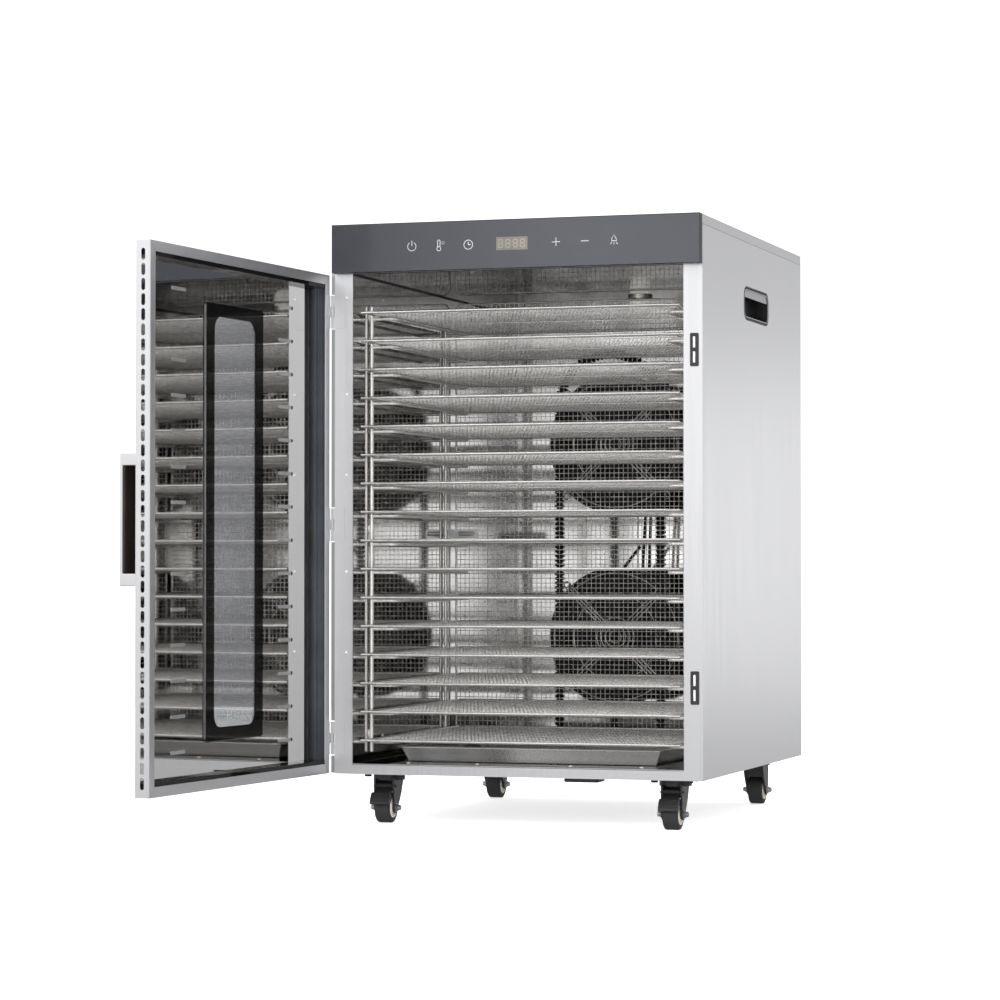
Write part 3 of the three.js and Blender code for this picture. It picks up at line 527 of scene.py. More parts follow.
def base():
    """The floor sheet, four castor plates with their bolts, and the small flat cowl near the front."""
    low, high = extent("base_pan")
    floor_sheet = Shape().box((low.x, high.x), (low.y, high.y), (0, SHEET))
    piece("base_floor", floor_sheet, CROSS_STEEL, "base_pan", bevel=0.3)
    plates, bolts = Shape(), Shape()
    for corner in CORNERS:
        swivel = joint_place(f"castor_swivel_{corner}")
        xs, ys = around(swivel.x, CASTOR_PLATE[0]), around(swivel.y, CASTOR_PLATE[1])
        plates.prism(rounded_rectangle(xs, ys, PLATE_CORNER), 2, -PLATE_THICK, 0)
        for x in (xs[0] + BOLT_INSET, xs[1] - BOLT_INSET):
            for y in (ys[0] + BOLT_INSET, ys[1] - BOLT_INSET):
                bolts.hexagon((x, y, -PLATE_THICK), (0, 0, -1), 5, 3.2)
    piece("castor_plates", plates, BLACK_METAL, "base_pan", bevel=0.5)
    piece("castor_plate_bolts", bolts, BLACK_METAL, "base_pan")
    cowl = Shape().prism(rounded_rectangle((58, 102), (8, 44), 6), 2, low.z, 0)
    piece("door_switch_cowl", cowl, BLACK_PLASTIC, "base_pan", bevel=1.0)


SCREW_INSET = 9
SCREW_ROWS = 5
SCREW = (3.4, 1.25)
WALL_RIVET = (3.0, 1.1)
FLAT_RIVET = (3.0, 1.2)
JAMB_RIVET = (2.2, 0.7, 12)


def fasteners():
    """Screws on the back panel, and rivets in the chamber and on the left jamb."""
    low, high = extent("back_panel")
    xs, zs = ((a + SCREW_INSET, b - SCREW_INSET) for a, b in ((low.x, high.x), (low.z, high.z)))
    places = [(x, zs[0] + k * (zs[1] - zs[0]) / (SCREW_ROWS - 1)) for k in range(SCREW_ROWS) for x in xs]
    places += [(x, z) for x in (-120, 0, 120) for z in zs]
    screws = Shape()
    for x, z in places:
        screws.knob((x, high.y - 1.3, z), (0, 1, 0), *SCREW)
    piece("back_panel_screws", screws, ZINC, "back_panel")
    low, high = extent("chamber_liner")
    rivets = Shape()
    for y in (110, 300, 470):
        for z in (low.z + 30, high.z - 24):
            rivets.knob((low.x + 0.8, y, z), (1, 0, 0), *WALL_RIVET)
            rivets.knob((high.x - 0.8, y, z), (-1, 0, 0), *WALL_RIVET)
    for x in (-150, -60, 60, 150):
        rivets.knob((x, 14, high.z - 0.8), (0, 0, -1), *FLAT_RIVET)
        rivets.knob((x, 34, low.z + 0.8), (0, 0, 1), *FLAT_RIVET)
    piece("chamber_rivets", rivets, RAIL_WIRE, "chamber_liner")
    pins = Shape()
    for z in (150, 250, 370, 470, 590):
        pins.knob((-220, 0.2, z), (0, -1, 0), *JAMB_RIVET)
    piece("jamb_rivets", pins, RAIL_WIRE, "front_frame")


POLE_SIZE = (2.6, 13)


def magnets():
    for place in ("upper", "lower"):
        node = f"magnet_catch_{place}"
        low, high = extent(node)
        housing = Shape().prism(rounded_rectangle((low.x, high.x), (low.z, high.z), 1.6), 1, low.y, high.y)
        piece(f"{node}_housing", housing, BLACK_PLASTIC, node, bevel=0.3)
        poles = Shape()
        for bottom in (low.z + 4.5, low.z + 22.5):
            xs, zs = around((low.x + high.x) / 2, POLE_SIZE[0]), (bottom, bottom + POLE_SIZE[1])
            poles.box(xs, (low.y - 0.25, low.y + 0.6), zs)
        piece(f"{node}_poles", poles, RAIL_WIRE, node, bevel=0.12)


GRIP_DROP = 9
CUP_CORNER = 14.7
RIM_EDGES = (1.6, 4.4)
GRIP_OVERLAP = 0.6


def carry_handles():
    """The moulded cups, each with a steel rim in the panel's plane and a steel lining behind its grip."""
    for side, place in ((-1, "left"), (1, "right")):
        node = f"side_handle_{place}"
        refined(node, BLACK_PLASTIC, 0.7)
        low, high = extent(node)
        outer = high.x if side > 0 else low.x
        outline, hole = (
            rounded_rectangle((low.y + e, high.y - e), (low.z + e, high.z - e), CUP_CORNER - e, 10)
            for e in RIM_EDGES
        )
        rim = Shape().plate(outline, [hole], 0, *sorted((outer, outer - side * 0.8)))
        piece(f"{node}_rim", rim, DULL_STEEL, node, bevel=0.2)
        wall = RIM_EDGES[1] - GRIP_OVERLAP
        zs = (high.z - RIM_EDGES[1] - GRIP_DROP, high.z - wall)
        grip = rounded_rectangle((low.y + wall, high.y - wall), zs, 4, 6)
        lining = Shape().prism(grip, 0, *sorted((outer - side * 1.0, outer - side * 2.2)))
        piece(f"{node}_lining", lining, DULL_STEEL, node, bevel=0.3)


def inlet():
    refined("power_inlet", BLACK_PLASTIC, 0.6)
    low, high = extent("power_inlet")
    screws = Shape()
    for x in (low.x + 4.5, high.x - 4.5):
        screws.knob((x, high.y - 1.2, (low.z + high.z) / 2), (0, 1, 0), 2.4, 1.15)
    piece("power_inlet_screws", screws, ZINC, "power_inlet")


# ---- Fascia ----

ICON_Z = 650
ICON_X = {"power": -129, "heat": -92.5, "clock": -56, "plus": 56, "minus": 92.5, "light": 129}
STROKE = 0.62
DISPLAY_SIZE = (40, 16)
DIGIT_X = (-14.6, -5.2, 4.2, 13.6)
DIGIT_HALF = (2.6, 4.6)
BAR = 1.24
FACE_THICK = 1.3


def fascia():
    node = "control_fascia"
    low, high = extent(node)
    back = low.y + FACE_THICK
    housing = Shape().box((low.x, high.x), (back, high.y), (low.z, high.z))
    piece("fascia_housing", housing, BLACK_PLASTIC, node, bevel=0.4)
    panel = Shape().box((low.x + 0.9, high.x - 0.3), (low.y, back - 0.02), (low.z, high.z - 0.9))
    piece("fascia_face", panel, FASCIA, node, bevel=0.3)
    piece("fascia_icons", icons(low.y), PRINT, node)
    window, digits = display(low.y)
    piece("display_window", window, DISPLAY, node, bevel=0.04)
    piece("display_digits", digits, DIGITS, node)


def arc(x, z, radius, start, end, steps=28):
    turns = [radians(start + (end - start) * k / steps) for k in range(steps + 1)]
    return [(x + radius * cos(t), z + radius * sin(t)) for t in turns]


def icons(y):
    """Raised print, drawn from each icon's middle."""
    shape = Shape()

    def draw(icon, *strokes, width=STROKE):
        for points in strokes:
            shape.tube([(ICON_X[icon] + u, y + 0.45, ICON_Z + v) for u, v in points], width, 8)

    bar = [(-5, 0), (5, 0)]
    draw("power", arc(0, 0, 5.4, 118, 422), [(0, 0.5), (0, 7)])
    draw("heat", arc(-1.5, -3.8, 2.6, 55, 430), [(-3.1, -1.6), (-3.1, 5.4)], [(0.1, -1.6), (0.1, 5.4)],
         arc(-1.5, 5.4, 1.6, 0, 180))
    draw("heat", arc(4, 3.4, 1.7, 0, 360, 16), width=0.5)
    draw("clock", arc(0, 0, 5.6, 0, 360), [(0, 3.4), (0, 0)], [(0, 0), (3, 0)])
    draw("plus", bar, [(0, -5), (0, 5)])
    draw("minus", bar)
    draw("light", [(-3, -0.8), (-2.6, 2.2), (0, 6.4), (2.6, 2.2), (3, -0.8)], [(-3.4, -1), (3.4, -1)],
         [(0, -2.6), (0, -5.6)], [(-2.6, -2.6), (-4.8, -5)], [(2.6, -2.6), (4.8, -5)])
    return shape


def display(y):
    """The unlit display: a window and four eights."""
    window = Shape().box(around(0, DISPLAY_SIZE[0]), (y - 0.08, y + 0.3), around(ICON_Z, DISPLAY_SIZE[1]))
    digits = Shape()
    wide, tall = DIGIT_HALF
    for x in DIGIT_X:
        for z in (ICON_Z - tall, ICON_Z, ICON_Z + tall):
            digits.box(around(x, 2 * wide), (y - 0.16, y + 0.1), around(z, BAR))
        for upright in (x - wide, x + wide):
            for z in (ICON_Z - tall / 2, ICON_Z + tall / 2):
                digits.box(around(upright, BAR), (y - 0.17, y + 0.1), around(z, tall - 2))
    return window, digits


def electronics():
    refined("control_board", BOARD, 0.2)
    back = extent("control_board")[1].y
    parts = Shape()
    for i in range(9):
        x = -190 + i * 26
        parts.box((x, x + 9 + i % 3 * 3), (back - 3.6, back - 1.2), (ICON_Z - 14, ICON_Z - 6 + i % 2 * 8))
    piece("board_parts", parts, BLACK_PLASTIC, "control_board", bevel=0.3)


# ---- Racks, trays and drip pan ----

WIRE = 2.0
POST_INSET = 3.2
RAIL_DROP = 4.3
RAIL_BEND = 9
TRAY_CORNER = 14
MESH_PITCH = 4.95
CROSS_PITCH = 15.07
LONG_WIRE = 0.28
CROSS_WIRE = 0.26
EAR = 6
POST = 2.5
FOOT = ((0, 1.2), (5, 1.2), (6, 0), (0, 0))
STAY = 3.2


def tray_middle(node):
    low, high = extent(node)
    return (low.z + high.z) / 2


def rack(side, place):
    """Two posts with feet on the wall, and a U-shaped rail under each tray."""
    node = f"rack_{place}"
    low, high = extent(node)
    wall, rail = (low.x, high.x - WIRE) if side < 0 else (high.x, low.x + WIRE)
    post = wall - side * POST_INSET
    front, rear = low.y + WIRE, high.y - WIRE
    shape = Shape()
    heights = [tray_middle(tray) for tray in TRAYS]
    for y in (front, rear):
        shape.tube([(post, y, low.z), (post, y, high.z)], POST, 12)
        for z in (low.z + 22, (low.z + high.z) / 2, heights[0] - 1):
            shape.tube([(post, y, z), (wall, y, z)], WIRE, 8)
            shape.turned([(reach, wall - side * rise) for reach, rise in FOOT], (0, y, z), 0, 16)
    for z in [height - RAIL_DROP for height in heights]:
        corners = [(post, front, z), (rail, front, z), (rail, rear, z), (post, rear, z)]
        shape.tube(filleted(corners, RAIL_BEND), WIRE, 10)
    piece(f"{node}_wires", shape, RAIL_WIRE, node)


def mesh_lines(us, vs, pitch, corner):
    """Parallel lines as (place, start, end), shorter where they run out through a round corner."""
    count = round((us[1] - us[0]) / pitch)
    for k in range(1, count):
        place = us[0] + (us[1] - us[0]) * k / count
        into = max(0.0, us[0] + corner - place, place - us[1] + corner)
        back = corner - sqrt(max(0.0, corner * corner - into * into))
        yield place, vs[0] + back, vs[1] - back


def tray(node):
    """A wire rim with an ear at each front corner, a stay below the middle, and two sets of mesh wires."""
    low, high = extent(node)
    z = tray_middle(node)
    xs, ys = (low.x + WIRE, high.x - WIRE), (low.y + WIRE, high.y - WIRE)
    corner = TRAY_CORNER - WIRE
    rim = Shape().tube([(x, y, z) for x, y in rounded_rectangle(xs, ys, corner)], WIRE, 12, closed=True)
    for x, outward in ((xs[0], -1), (xs[1], 1)):
        rim.tube([(x - outward * TRAY_CORNER, ys[0], z), (x + outward * EAR, ys[0] + 0.6, z)], WIRE - 0.1, 10)
    rim.box(xs, around((ys[0] + ys[1]) / 2 + 2.5, STAY), (low.z + 0.1, low.z + 0.9))
    piece(f"{node}_rim", rim, RIM_WIRE, node, node)
    long_wires, cross_wires = Shape(), Shape()
    for x, start, end in mesh_lines(xs, ys, MESH_PITCH, corner):
        long_wires.tube([(x, start, z), (x, end, z)], LONG_WIRE, 8)
    piece(f"{node}_long_wires", long_wires, MESH_WIRE, node, node)
    for y, start, end in mesh_lines(ys, xs, CROSS_PITCH, corner):
        cross_wires.tube([(start, y, z), (end, y, z)], CROSS_WIRE, 6)
    piece(f"{node}_cross_wires", cross_wires, MESH_WIRE, node, node)


def drip_pan():
    refined("drip_tray", PAN_STEEL, 0.9, body="drip_tray")
    low, high = extent("drip_tray")
    outline = rounded_rectangle((low.x + 1, high.x - 1), (low.y + 1, high.y - 1), 15, 6)
    bead = Shape().tube([(x, y, high.z - 0.9) for x, y in outline], 0.9, 8, closed=True)
    piece("drip_tray_bead", bead, RIM_WIRE, "drip_tray", "drip_tray")


# ---- Behind the trays: guard, fans, heater, sensor and lamp ----

GUARD_CORNER = 10
GUARD_PITCH = 6.4
GUARD_RIM = 1.5
GUARD_WIRE_RADIUS = 0.45
RING_RADIUS = (88, 92)
BLADES = 5
BLADE_STEPS = (8, 6)
GUARD_RINGS = (8, 14, 20, 26, 58, 86)
GUARD_STEP = 4.5
RING_HALF = 14
CAN_START = 20
CAN_RADIUS = 34
CAN_RIBS = 5
RIB_PITCH = 6.4
RIB_CUT = 1.6
STRUT = 18
ARM_REACH = 90


def guard():
    low, high = extent("rear_guard")
    y = (low.y + high.y) / 2
    xs, zs = (low.x + GUARD_RIM, high.x - GUARD_RIM), (low.z + GUARD_RIM, high.z - GUARD_RIM)
    outline = [(x, y, z) for x, z in rounded_rectangle(xs, zs, GUARD_CORNER)]
    border = Shape().tube(outline, GUARD_RIM, 10, closed=True)
    piece("rear_guard_border", border, RAIL_WIRE, "rear_guard")
    grid = Shape()
    near, far = around(y, 2 * GUARD_WIRE_RADIUS)
    for x, start, end in mesh_lines(xs, zs, GUARD_PITCH, GUARD_CORNER):
        grid.tube([(x, near, start), (x, near, end)], GUARD_WIRE_RADIUS, 6)
    for z, start, end in mesh_lines(zs, xs, GUARD_PITCH, GUARD_CORNER):
        grid.tube([(start, far, z), (end, far, z)], GUARD_WIRE_RADIUS, 6)
    piece("rear_guard_grid", grid, GUARD_WIRE, "rear_guard")


def fan(place):
    """A duct ring, the ribbed motor can behind it, the struts that hold both, and a terminal box."""
    node = f"fan_motor_{place}"
    back = extent(node)[1].y
    centre = joint_place(f"fan_spin_{place}")
    x, y, z = centre
    inner, outer = RING_RADIUS
    body = Shape()
    body.turned([
        (inner, 3 - RING_HALF), (inner + 1.6, -RING_HALF), (outer + 2, -RING_HALF), (outer, 4 - RING_HALF),
        (outer, RING_HALF), (inner, RING_HALF),
    ], centre, 1, 72)
    profile = [(0, 0), (24, 0), (31, 2), (CAN_RADIUS, 6)]
    for k in range(CAN_RIBS):
        rib, groove = 8 + k * RIB_PITCH, CAN_RADIUS - RIB_CUT
        profile += [(CAN_RADIUS, rib), (CAN_RADIUS, rib + 3.4), (groove, rib + 4.2), (groove, rib + 5.6)]
    profile += [(CAN_RADIUS, 40), (30, 46), (0, 46)]
    can = y + CAN_START
    body.turned(profile, (x, can, z), 1, 48)
    for end in around(x, 2 * ARM_REACH):
        body.box(around(end, 8), (y + 8, back), around(z, STRUT))
    body.box(around(x, 2 * ARM_REACH), (can + 8, can + 14), around(z, STRUT))
    body.box(around(x, STRUT), (can + 2, can + 6), around(z, 2 * ARM_REACH - 2))
    body.box((x - 24, x + 60), (can - 2, can + 24), (z + 55, z + 86))
    body.turned([(5, 15), (inner + 2, 15), (inner + 2, 17), (5, 17)], centre, 1, 72)
    piece(f"{node}_body", body, FAN_BLACK, node, bevel=0.5)
    finger_guard(node, Vector((x, y - RING_HALF - GUARD_STEP, z)))
    rotor(place, centre)


def finger_guard(node, centre):
    """Bright rings held by three wires along each diagonal, with an eyelet at each corner."""
    shape = Shape()
    for radius in GUARD_RINGS:
        ring = [centre + Vector((radius * c, 0, radius * s)) for c, s in circle(56)]
        shape.tube(ring, 0.9, 8, closed=True)
    for quarter in range(4):
        turn = Matrix.Rotation(radians(-45 - 90 * quarter), 3, "Y")
        for shift in (-4.2, 0, 4.2):
            path = [centre + turn @ Vector((*bend, shift)) for bend in ((26, 1.8), (90, 1.8), (97, 7))]
            shape.tube(filleted(path, 4), 1.0, 8)
        eye = [centre + turn @ Vector((99, 7, 0)) + Vector((4 * c, 0, 4 * s)) for c, s in circle(20)]
        shape.tube(eye, 1.1, 8, closed=True)
    piece(f"{node}_finger_guard", shape, RAIL_WIRE, node)


def rotor(place, centre):
    node = f"fan_rotor_{place}"
    shape = Shape()
    shape.turned([(0, -10), (13, -10), (18, -8.5), (20, -5), (20, 10), (0, 10)], centre, 1, 40)
    shape.turned([(0, 9), (3.4, 9), (3.4, 50), (0, 50)], centre, 1, 16)
    for k in range(BLADES):
        blade(shape, centre, 2 * pi * k / BLADES)
    piece(f"{node}_blades", shape, FAN_BLACK, node, node)


def blade(shape, centre, turn):
    """A swept blade whose pitch falls towards its tip."""
    rings, half_thick = [], Vector((0, 0.7, 0))
    spans, chords = BLADE_STEPS
    for share in [i / spans for i in range(spans + 1)]:
        radius, width, pitch = 18 + 63 * share, radians(62 - 14 * share), 24 - 9 * share
        line = []
        for along in [j / chords - 0.5 for j in range(chords + 1)]:
            angle = turn + width * along + 0.32 * share * share
            depth = 2.2 * (1 - 4 * along * along) - pitch * along
            line.append(centre + Vector((radius * cos(angle), depth, radius * sin(angle))))
        rings.append([p - half_thick for p in line] + [p + half_thick for p in reversed(line)])
    shape.loft(rings)


FIN_RADIUS = 7
FIN_ROOT = 3.9
FIN_PITCH = 6.1
TERMINAL_REACH = 10
FIN_DISC = ((FIN_ROOT - 0.4, -2.9), (FIN_RADIUS, -0.9), (FIN_RADIUS, 0.9), (FIN_ROOT - 0.4, 2.9))


def heater():
    """A tube up one side, over and down the other, with round fins that thin outwards, on a terminal bar."""
    low, high = extent("heater")
    y = (low.y + high.y) / 2
    left, right = low.x + TERMINAL_REACH + 6, high.x - TERMINAL_REACH
    middle, radius = (left + right) / 2, (right - left) / 2
    foot, shoulder = low.z + 8, high.z - FIN_RADIUS - radius
    turns = [pi * k / 24 for k in range(25)]
    arch = [Vector((middle - radius * cos(t), y, shoulder + radius * sin(t))) for t in turns]
    path = [Vector((left, y, foot)), *arch, Vector((right, y, foot))]
    fins = Shape().tube(path, FIN_ROOT, 14)
    travelled = 0.0
    for start, end in zip(path, path[1:]):
        step = end - start
        while travelled < step.length:
            fins.stack(start + step.normalized() * travelled, step, FIN_DISC, 14)
            travelled += FIN_PITCH
        travelled -= step.length
    piece("heater_fins", fins, FAN_BLACK, "heater")
    block = Shape().box((low.x, high.x), (low.y + 1, high.y - 1), (low.z, foot + 3))
    piece("heater_terminals", block, BLACK_METAL, "heater", bevel=0.8)


def sensor():
    """The probe on its bracket, with two screws."""
    refined("temp_sensor", BRACKET, 0.25)
    low, high = extent("temp_sensor")
    z = (low.z + high.z) / 2
    profile = [(0, 12), (2.6, 13), (3, 15), (3, 33), (0, 33)]
    probe = Shape().turned(profile, (low.x, high.y - 6.5, z), 0, 20)
    for x in (low.x + 12, low.x + 27):
        probe.knob((x, high.y - 1.3, z), (0, -1, 0), 3.2, 1.6)
    piece("temp_sensor_probe", probe, RAIL_WIRE, "temp_sensor")


def lamp():
    """A glass dome below a steel collar."""
    low, high = extent("chamber_lamp")
    foot = ((low.x + high.x) / 2, (low.y + high.y) / 2, low.z)
    dome = [(0, 0), (5, 0.4), (9.5, 2.4), (12.6, 6), (14, 11), (14, 24), (0, 24)]
    piece("lamp_glass_dome", Shape().turned(dome, foot, 2, 40), LAMP, "chamber_lamp")
    top = high.z - low.z
    collar = [(0, 23.9), (15.6, 23.9), (17, 25), (17, top), (0, top)]
    piece("lamp_collar", Shape().turned(collar, foot, 2, 40), RAIL_WIRE, "chamber_lamp")


LEADS = ((35, 22, 5, 2.1), (43, 26, 3, 2.1), (55, 30, 0, 2.6))


def cables():
    """Leads that run between the fans, each with its place, lean and radius, one branch and a thin rod."""
    upper, lower = joint_place("fan_spin_upper"), joint_place("fan_spin_lower")
    top, bottom = upper.z - 86, lower.z + 88
    shape = Shape()
    for x, y, lean, radius in LEADS:
        stops = ((x + lean, top), (x + lean * 0.3, bottom + 30), (x, bottom))
        shape.tube([(across, upper.y + y, z) for across, z in stops], radius, 10)
    shape.tube([(31, upper.y + 24, bottom + 34), (1, upper.y + 24, bottom - 4)], 2.2, 10)
    piece("fan_cables", shape, BLACK_PLASTIC, "fan_motor_upper fan_motor_lower")
    rod = Shape().tube([(lower.x - 18, upper.y + 40, z) for z in (top, bottom)], 1.0, 8)
    piece("fan_earth_rod", rod, BLACK_METAL, "fan_motor_upper")


# ---- Door, drawn closed ----

DOOR_SHEET = 1.0
LIP = 12
MITRE_GAP = 0.25
SLOTS = 36
SLOT_PITCH = 16.75
SLOT_SIZE = (4.8, 13.3)
WINDOW_SIZE = (112, 482)
WINDOW_CORNER = 18
CLEAR_SIZE = (107, 477)
CLEAR_CORNER = 16
SLOT_SHIFT = 1


def door_shell():
    """A folded pan: skin with the window's hole, four walls with slots in the upright ones, mitred lips."""
    low, high = extent("door_frame", DOOR)
    middle_x = (low.x + high.x) / 2
    middle_z = sum(corner.z for corner in extent("window_glass", DOOR)) / 2
    xs, zs = (low.x, high.x), (low.z, high.z)
    shape = Shape()
    width, height = WINDOW_SIZE
    hole = rounded_rectangle(around(middle_x, width), around(middle_z, height), WINDOW_CORNER, 8)
    shape.plate(rectangle(xs, zs), [hole], 1, low.y, low.y + DOOR_SHEET)
    inner = (low.y + DOOR_SHEET, high.y - DOOR_SHEET)
    slots = []
    ys, corner = around((low.y + high.y) / 2, SLOT_SIZE[0]), SLOT_SIZE[0] / 2 - 0.01
    for i in range(SLOTS):
        z = middle_z + SLOT_SHIFT + (i - (SLOTS - 1) / 2) * SLOT_PITCH
        slots.append(rounded_rectangle(ys, around(z, SLOT_SIZE[1]), corner, 5))
    for x in (xs[0], xs[1] - DOOR_SHEET):
        shape.plate(rectangle(inner, zs), slots, 0, x, x + DOOR_SHEET)
    for z in (zs[0], zs[1] - DOOR_SHEET):
        shape.box((xs[0] + DOOR_SHEET, xs[1] - DOOR_SHEET), inner, (z, z + DOOR_SHEET))
    lips(shape, xs, zs, high.y)
    piece("door_pan", shape, PALE_STEEL, "door_frame", "door", DOOR, 0.22)


def lips(shape, xs, zs, back):
    """Four lips folded inwards, with a thin gap at each mitre."""
    gap, near = MITRE_GAP, back - DOOR_SHEET
    reach = LIP + gap
    for x, inward in ((xs[0], 1), (xs[1], -1)):
        edge = x + inward * LIP
        lip = [(x, zs[0] + gap), (edge, zs[0] + reach), (edge, zs[1] - reach), (x, zs[1] - gap)]
        shape.prism(lip, 1, near, back)
    for z, inward in ((zs[0], 1), (zs[1], -1)):
        edge = z + inward * LIP
        lip = [(xs[0] + gap, z), (xs[1] - gap, z), (xs[1] - reach, edge), (xs[0] + reach, edge)]
        shape.prism(lip, 1, near, back)


def door_fittings():
    refined("door_inner_panel", DOOR_MIRROR, 0.15, "door_mirror", "door", DOOR)
    refined("window_glass", WINDOW, 0.3, "window_pane", "door", DOOR)
    low, high = extent("window_gasket", DOOR)
    xs, zs = (around((a + b) / 2, size) for a, b, size in zip(low.xz, high.xz, CLEAR_SIZE))
    outline = rounded_rectangle((low.x, high.x), (low.z, high.z), 4, 4)
    border = Shape().plate(outline, [rounded_rectangle(xs, zs, CLEAR_CORNER, 10)], 1, low.y, high.y)
    piece("window_border", border, BORDER, "window_gasket", "door", DOOR, 0.25)
    louvres()
    refined("door_handle", PALE_STEEL, 0.9, "door_handle_bar", "door", DOOR)
    refined("door_handle_grip", BROWN_LINING, 0.5, "door_handle_lining", "door", DOOR)
    wall = extent("door_frame", DOOR)[0].x
    for place in ("top", "middle", "bottom"):
        node = f"hinge_leaf_{place}"
        refined(node, PALE_STEEL, 0.18, f"{node}_plate", "door", DOOR, 32)
        low, high = extent(node, DOOR)
        screws = Shape()
        for z in around((low.z + high.z) / 2, 28):
            screws.knob((wall - 1.2, (low.y + high.y) / 2 - 3, z), (-1, 0, 0), 2.4, 0.9)
        piece(f"{node}_screws", screws, ZINC, node, "door", DOOR)


LOUVRES = 14
LOUVRE_Z = (46, 572)
LOUVRE_SIZE = (36, 4.2)
LOUVRE_X = (-138, 137)
SEAL_EDGES = (0.4, LIP + 3.4)


def louvres():
    """Pressed slots in the mirror with a stud beside them, seals at its top and bottom, and dark sheets of
    painted shade behind the hinge wall's slots and along the mirror's hinge edge.
    """
    node = "door_inner_panel"
    low, high = extent(node, DOOR)
    pressed, studs = Shape(), Shape()
    stud_x = LOUVRE_X[0] - LOUVRE_SIZE[0] / 2 - 1.5
    for k in range(LOUVRES):
        z = LOUVRE_Z[0] + (LOUVRE_Z[1] - LOUVRE_Z[0]) * k / (LOUVRES - 1)
        for x in LOUVRE_X:
            outline = rounded_rectangle(around(x, LOUVRE_SIZE[0]), around(z, LOUVRE_SIZE[1]), 2.05, 5)
            pressed.prism(outline, 1, high.y - 0.2, high.y + 0.35)
        studs.knob((stud_x, high.y - 0.1, z), (0, 1, 0), 2.3, 0.9, 14)
    piece("door_louvres", pressed, PALE_STEEL, node, "door", DOOR, 0.2)
    piece("door_louvre_studs", studs, BLACK_METAL, node, "door", DOOR)
    frame_low, frame_high = extent("door_frame", DOOR)
    seals = Shape()
    near, far = high.y + 0.02, frame_high.y - DOOR_SHEET - 0.3
    for edge, inward in ((low.z, 1), (high.z, -1)):
        zs = sorted(edge + inward * reach for reach in SEAL_EDGES)
        seals.box((low.x + 1, high.x - 1), (near, far), zs)
    piece("door_seals", seals, BORDER, node, "door", DOOR, 0.3)
    # Painted shade: a dark sheet inside the hinge wall, behind its slots, and a dark strip along the mirror's
    # hinge edge.
    inside = frame_low.x + DOOR_SHEET
    zs = (low.z + LIP, high.z - LIP)
    shade_backing = Shape().box((inside, inside + 0.3), (near, far), zs)
    shade_backing.box((low.x + 1, low.x + 9), (near - 0.01, near + 0.25), zs)
    piece("door_hinge_shade_backing", shade_backing, SHADE_BACKING, node, "door", DOOR)


# ---- Castors, drawn at the swivel axis with the wheel trailing towards -Y ----

TYRE_WIDTH = 19
TYRE_SHOULDER = 2.6
HUB_RADIUS = 12.4
HUB_SECTION = ((3.2, 0.2), (6.5, 0.2), (7.5, -1.6), (10, -1.6), (11, 0.3), (HUB_RADIUS + 0.2, 0.3))
AXLE_END = ((0, 16.2), (3.2, 16.2), (3.2, 18.8), (2.2, 19.6), (0, 19.6))
WASHER = ((0, 13.3), (5.6, 13.3), (5.6, 13.9), (0, 13.9))
SWIVEL_RACE = ((16.4, -2.75), (18.6, -2.75), (19.6, -4.2), (18.6, -5.6), (16.4, -5.6))
PEDAL_RIBS = (138, 145, 152, 159)


def castor(corner):
    """Fork with its web and fasteners, tyre with round shoulders, and a hollowed hub."""
    space = castor_space(corner)
    fork, wheel = f"castor_fork_{corner}", f"castor_wheel_{corner}"
    refined(fork, BLACK_METAL, 0.7, body=fork, space=space)
    low, high = extent(wheel, space)
    hub = (0, (low.y + high.y) / 2, (low.z + high.z) / 2)
    radius, half = hub[2] - low.z, TYRE_WIDTH / 2
    round_off = [((s - 1) * TYRE_SHOULDER, (c - 1) * TYRE_SHOULDER) for c, s in circle(16)[:5]]
    shoulder = [(radius + rise, half + along) for rise, along in round_off]
    profile = [(HUB_RADIUS, -half), *[(reach, -along) for reach, along in shoulder]]
    profile += [*reversed(shoulder), (HUB_RADIUS, half)]
    piece(f"{wheel}_tyre", Shape().turned(profile, hub, 0, 48), TYRE, wheel, wheel, space)
    profile = [(reach, -half - rise) for reach, rise in HUB_SECTION]
    profile += [(reach, half + rise) for reach, rise in reversed(HUB_SECTION)]
    piece(f"{wheel}_hub", Shape().turned(profile, hub, 0, 40), HUB_CREAM, wheel, wheel, space)
    bolts = Shape()
    for side in (-1, 1):
        bolts.hexagon((side * 13.4, *hub[1:]), (side, 0, 0), 4.6, 2.9)
        for section, sides in ((AXLE_END, 20), (WASHER, 24)):
            bolts.turned([(reach, side * along) for reach, along in section], hub, 0, sides)
    bolts.turned(SWIVEL_RACE, (0, 0, 0), 2, 40)
    piece(f"{fork}_bolts", bolts, ZINC, fork, fork, space)
    web = Shape().box((-10.9, 10.9), (6, 8), (-26, -9.9))
    piece(f"{fork}_web", web, BLACK_METAL, fork, fork, space, 0.4)


def pedal(place):
    node, space = f"brake_pedal_{place}", castor_space(f"front_{place}")
    refined(node, BLACK_PLASTIC, 0.5, body=node, space=space)
    low, high = extent(f"castor_wheel_front_{place}", space)
    axle_y, axle_z = (low.y + high.y) / 2, (low.z + high.z) / 2
    ribs = Shape()
    for turn in map(radians, PEDAL_RIBS):
        y, z = axle_y + 27.4 * cos(turn), axle_z + 27.4 * sin(turn)
        ribs.tube([(-11, y, z), (11, y, z)], 0.9, 8)
    piece(f"{node}_ribs", ribs, BLACK_PLASTIC, node, node, space)


# ---- Studio ----

CAMERA_PLACE = (1.19188, -3.70617, 0.3179)
CAMERA_TURN = (91.235, 0.0, 17.73)
CAMERA_LENS = 113.42
FLOOR_REACH = 3
FLAG_XS = (1.09, 1.235)
FLAG_Y = -3.8
FLAG_TOP = 1.6


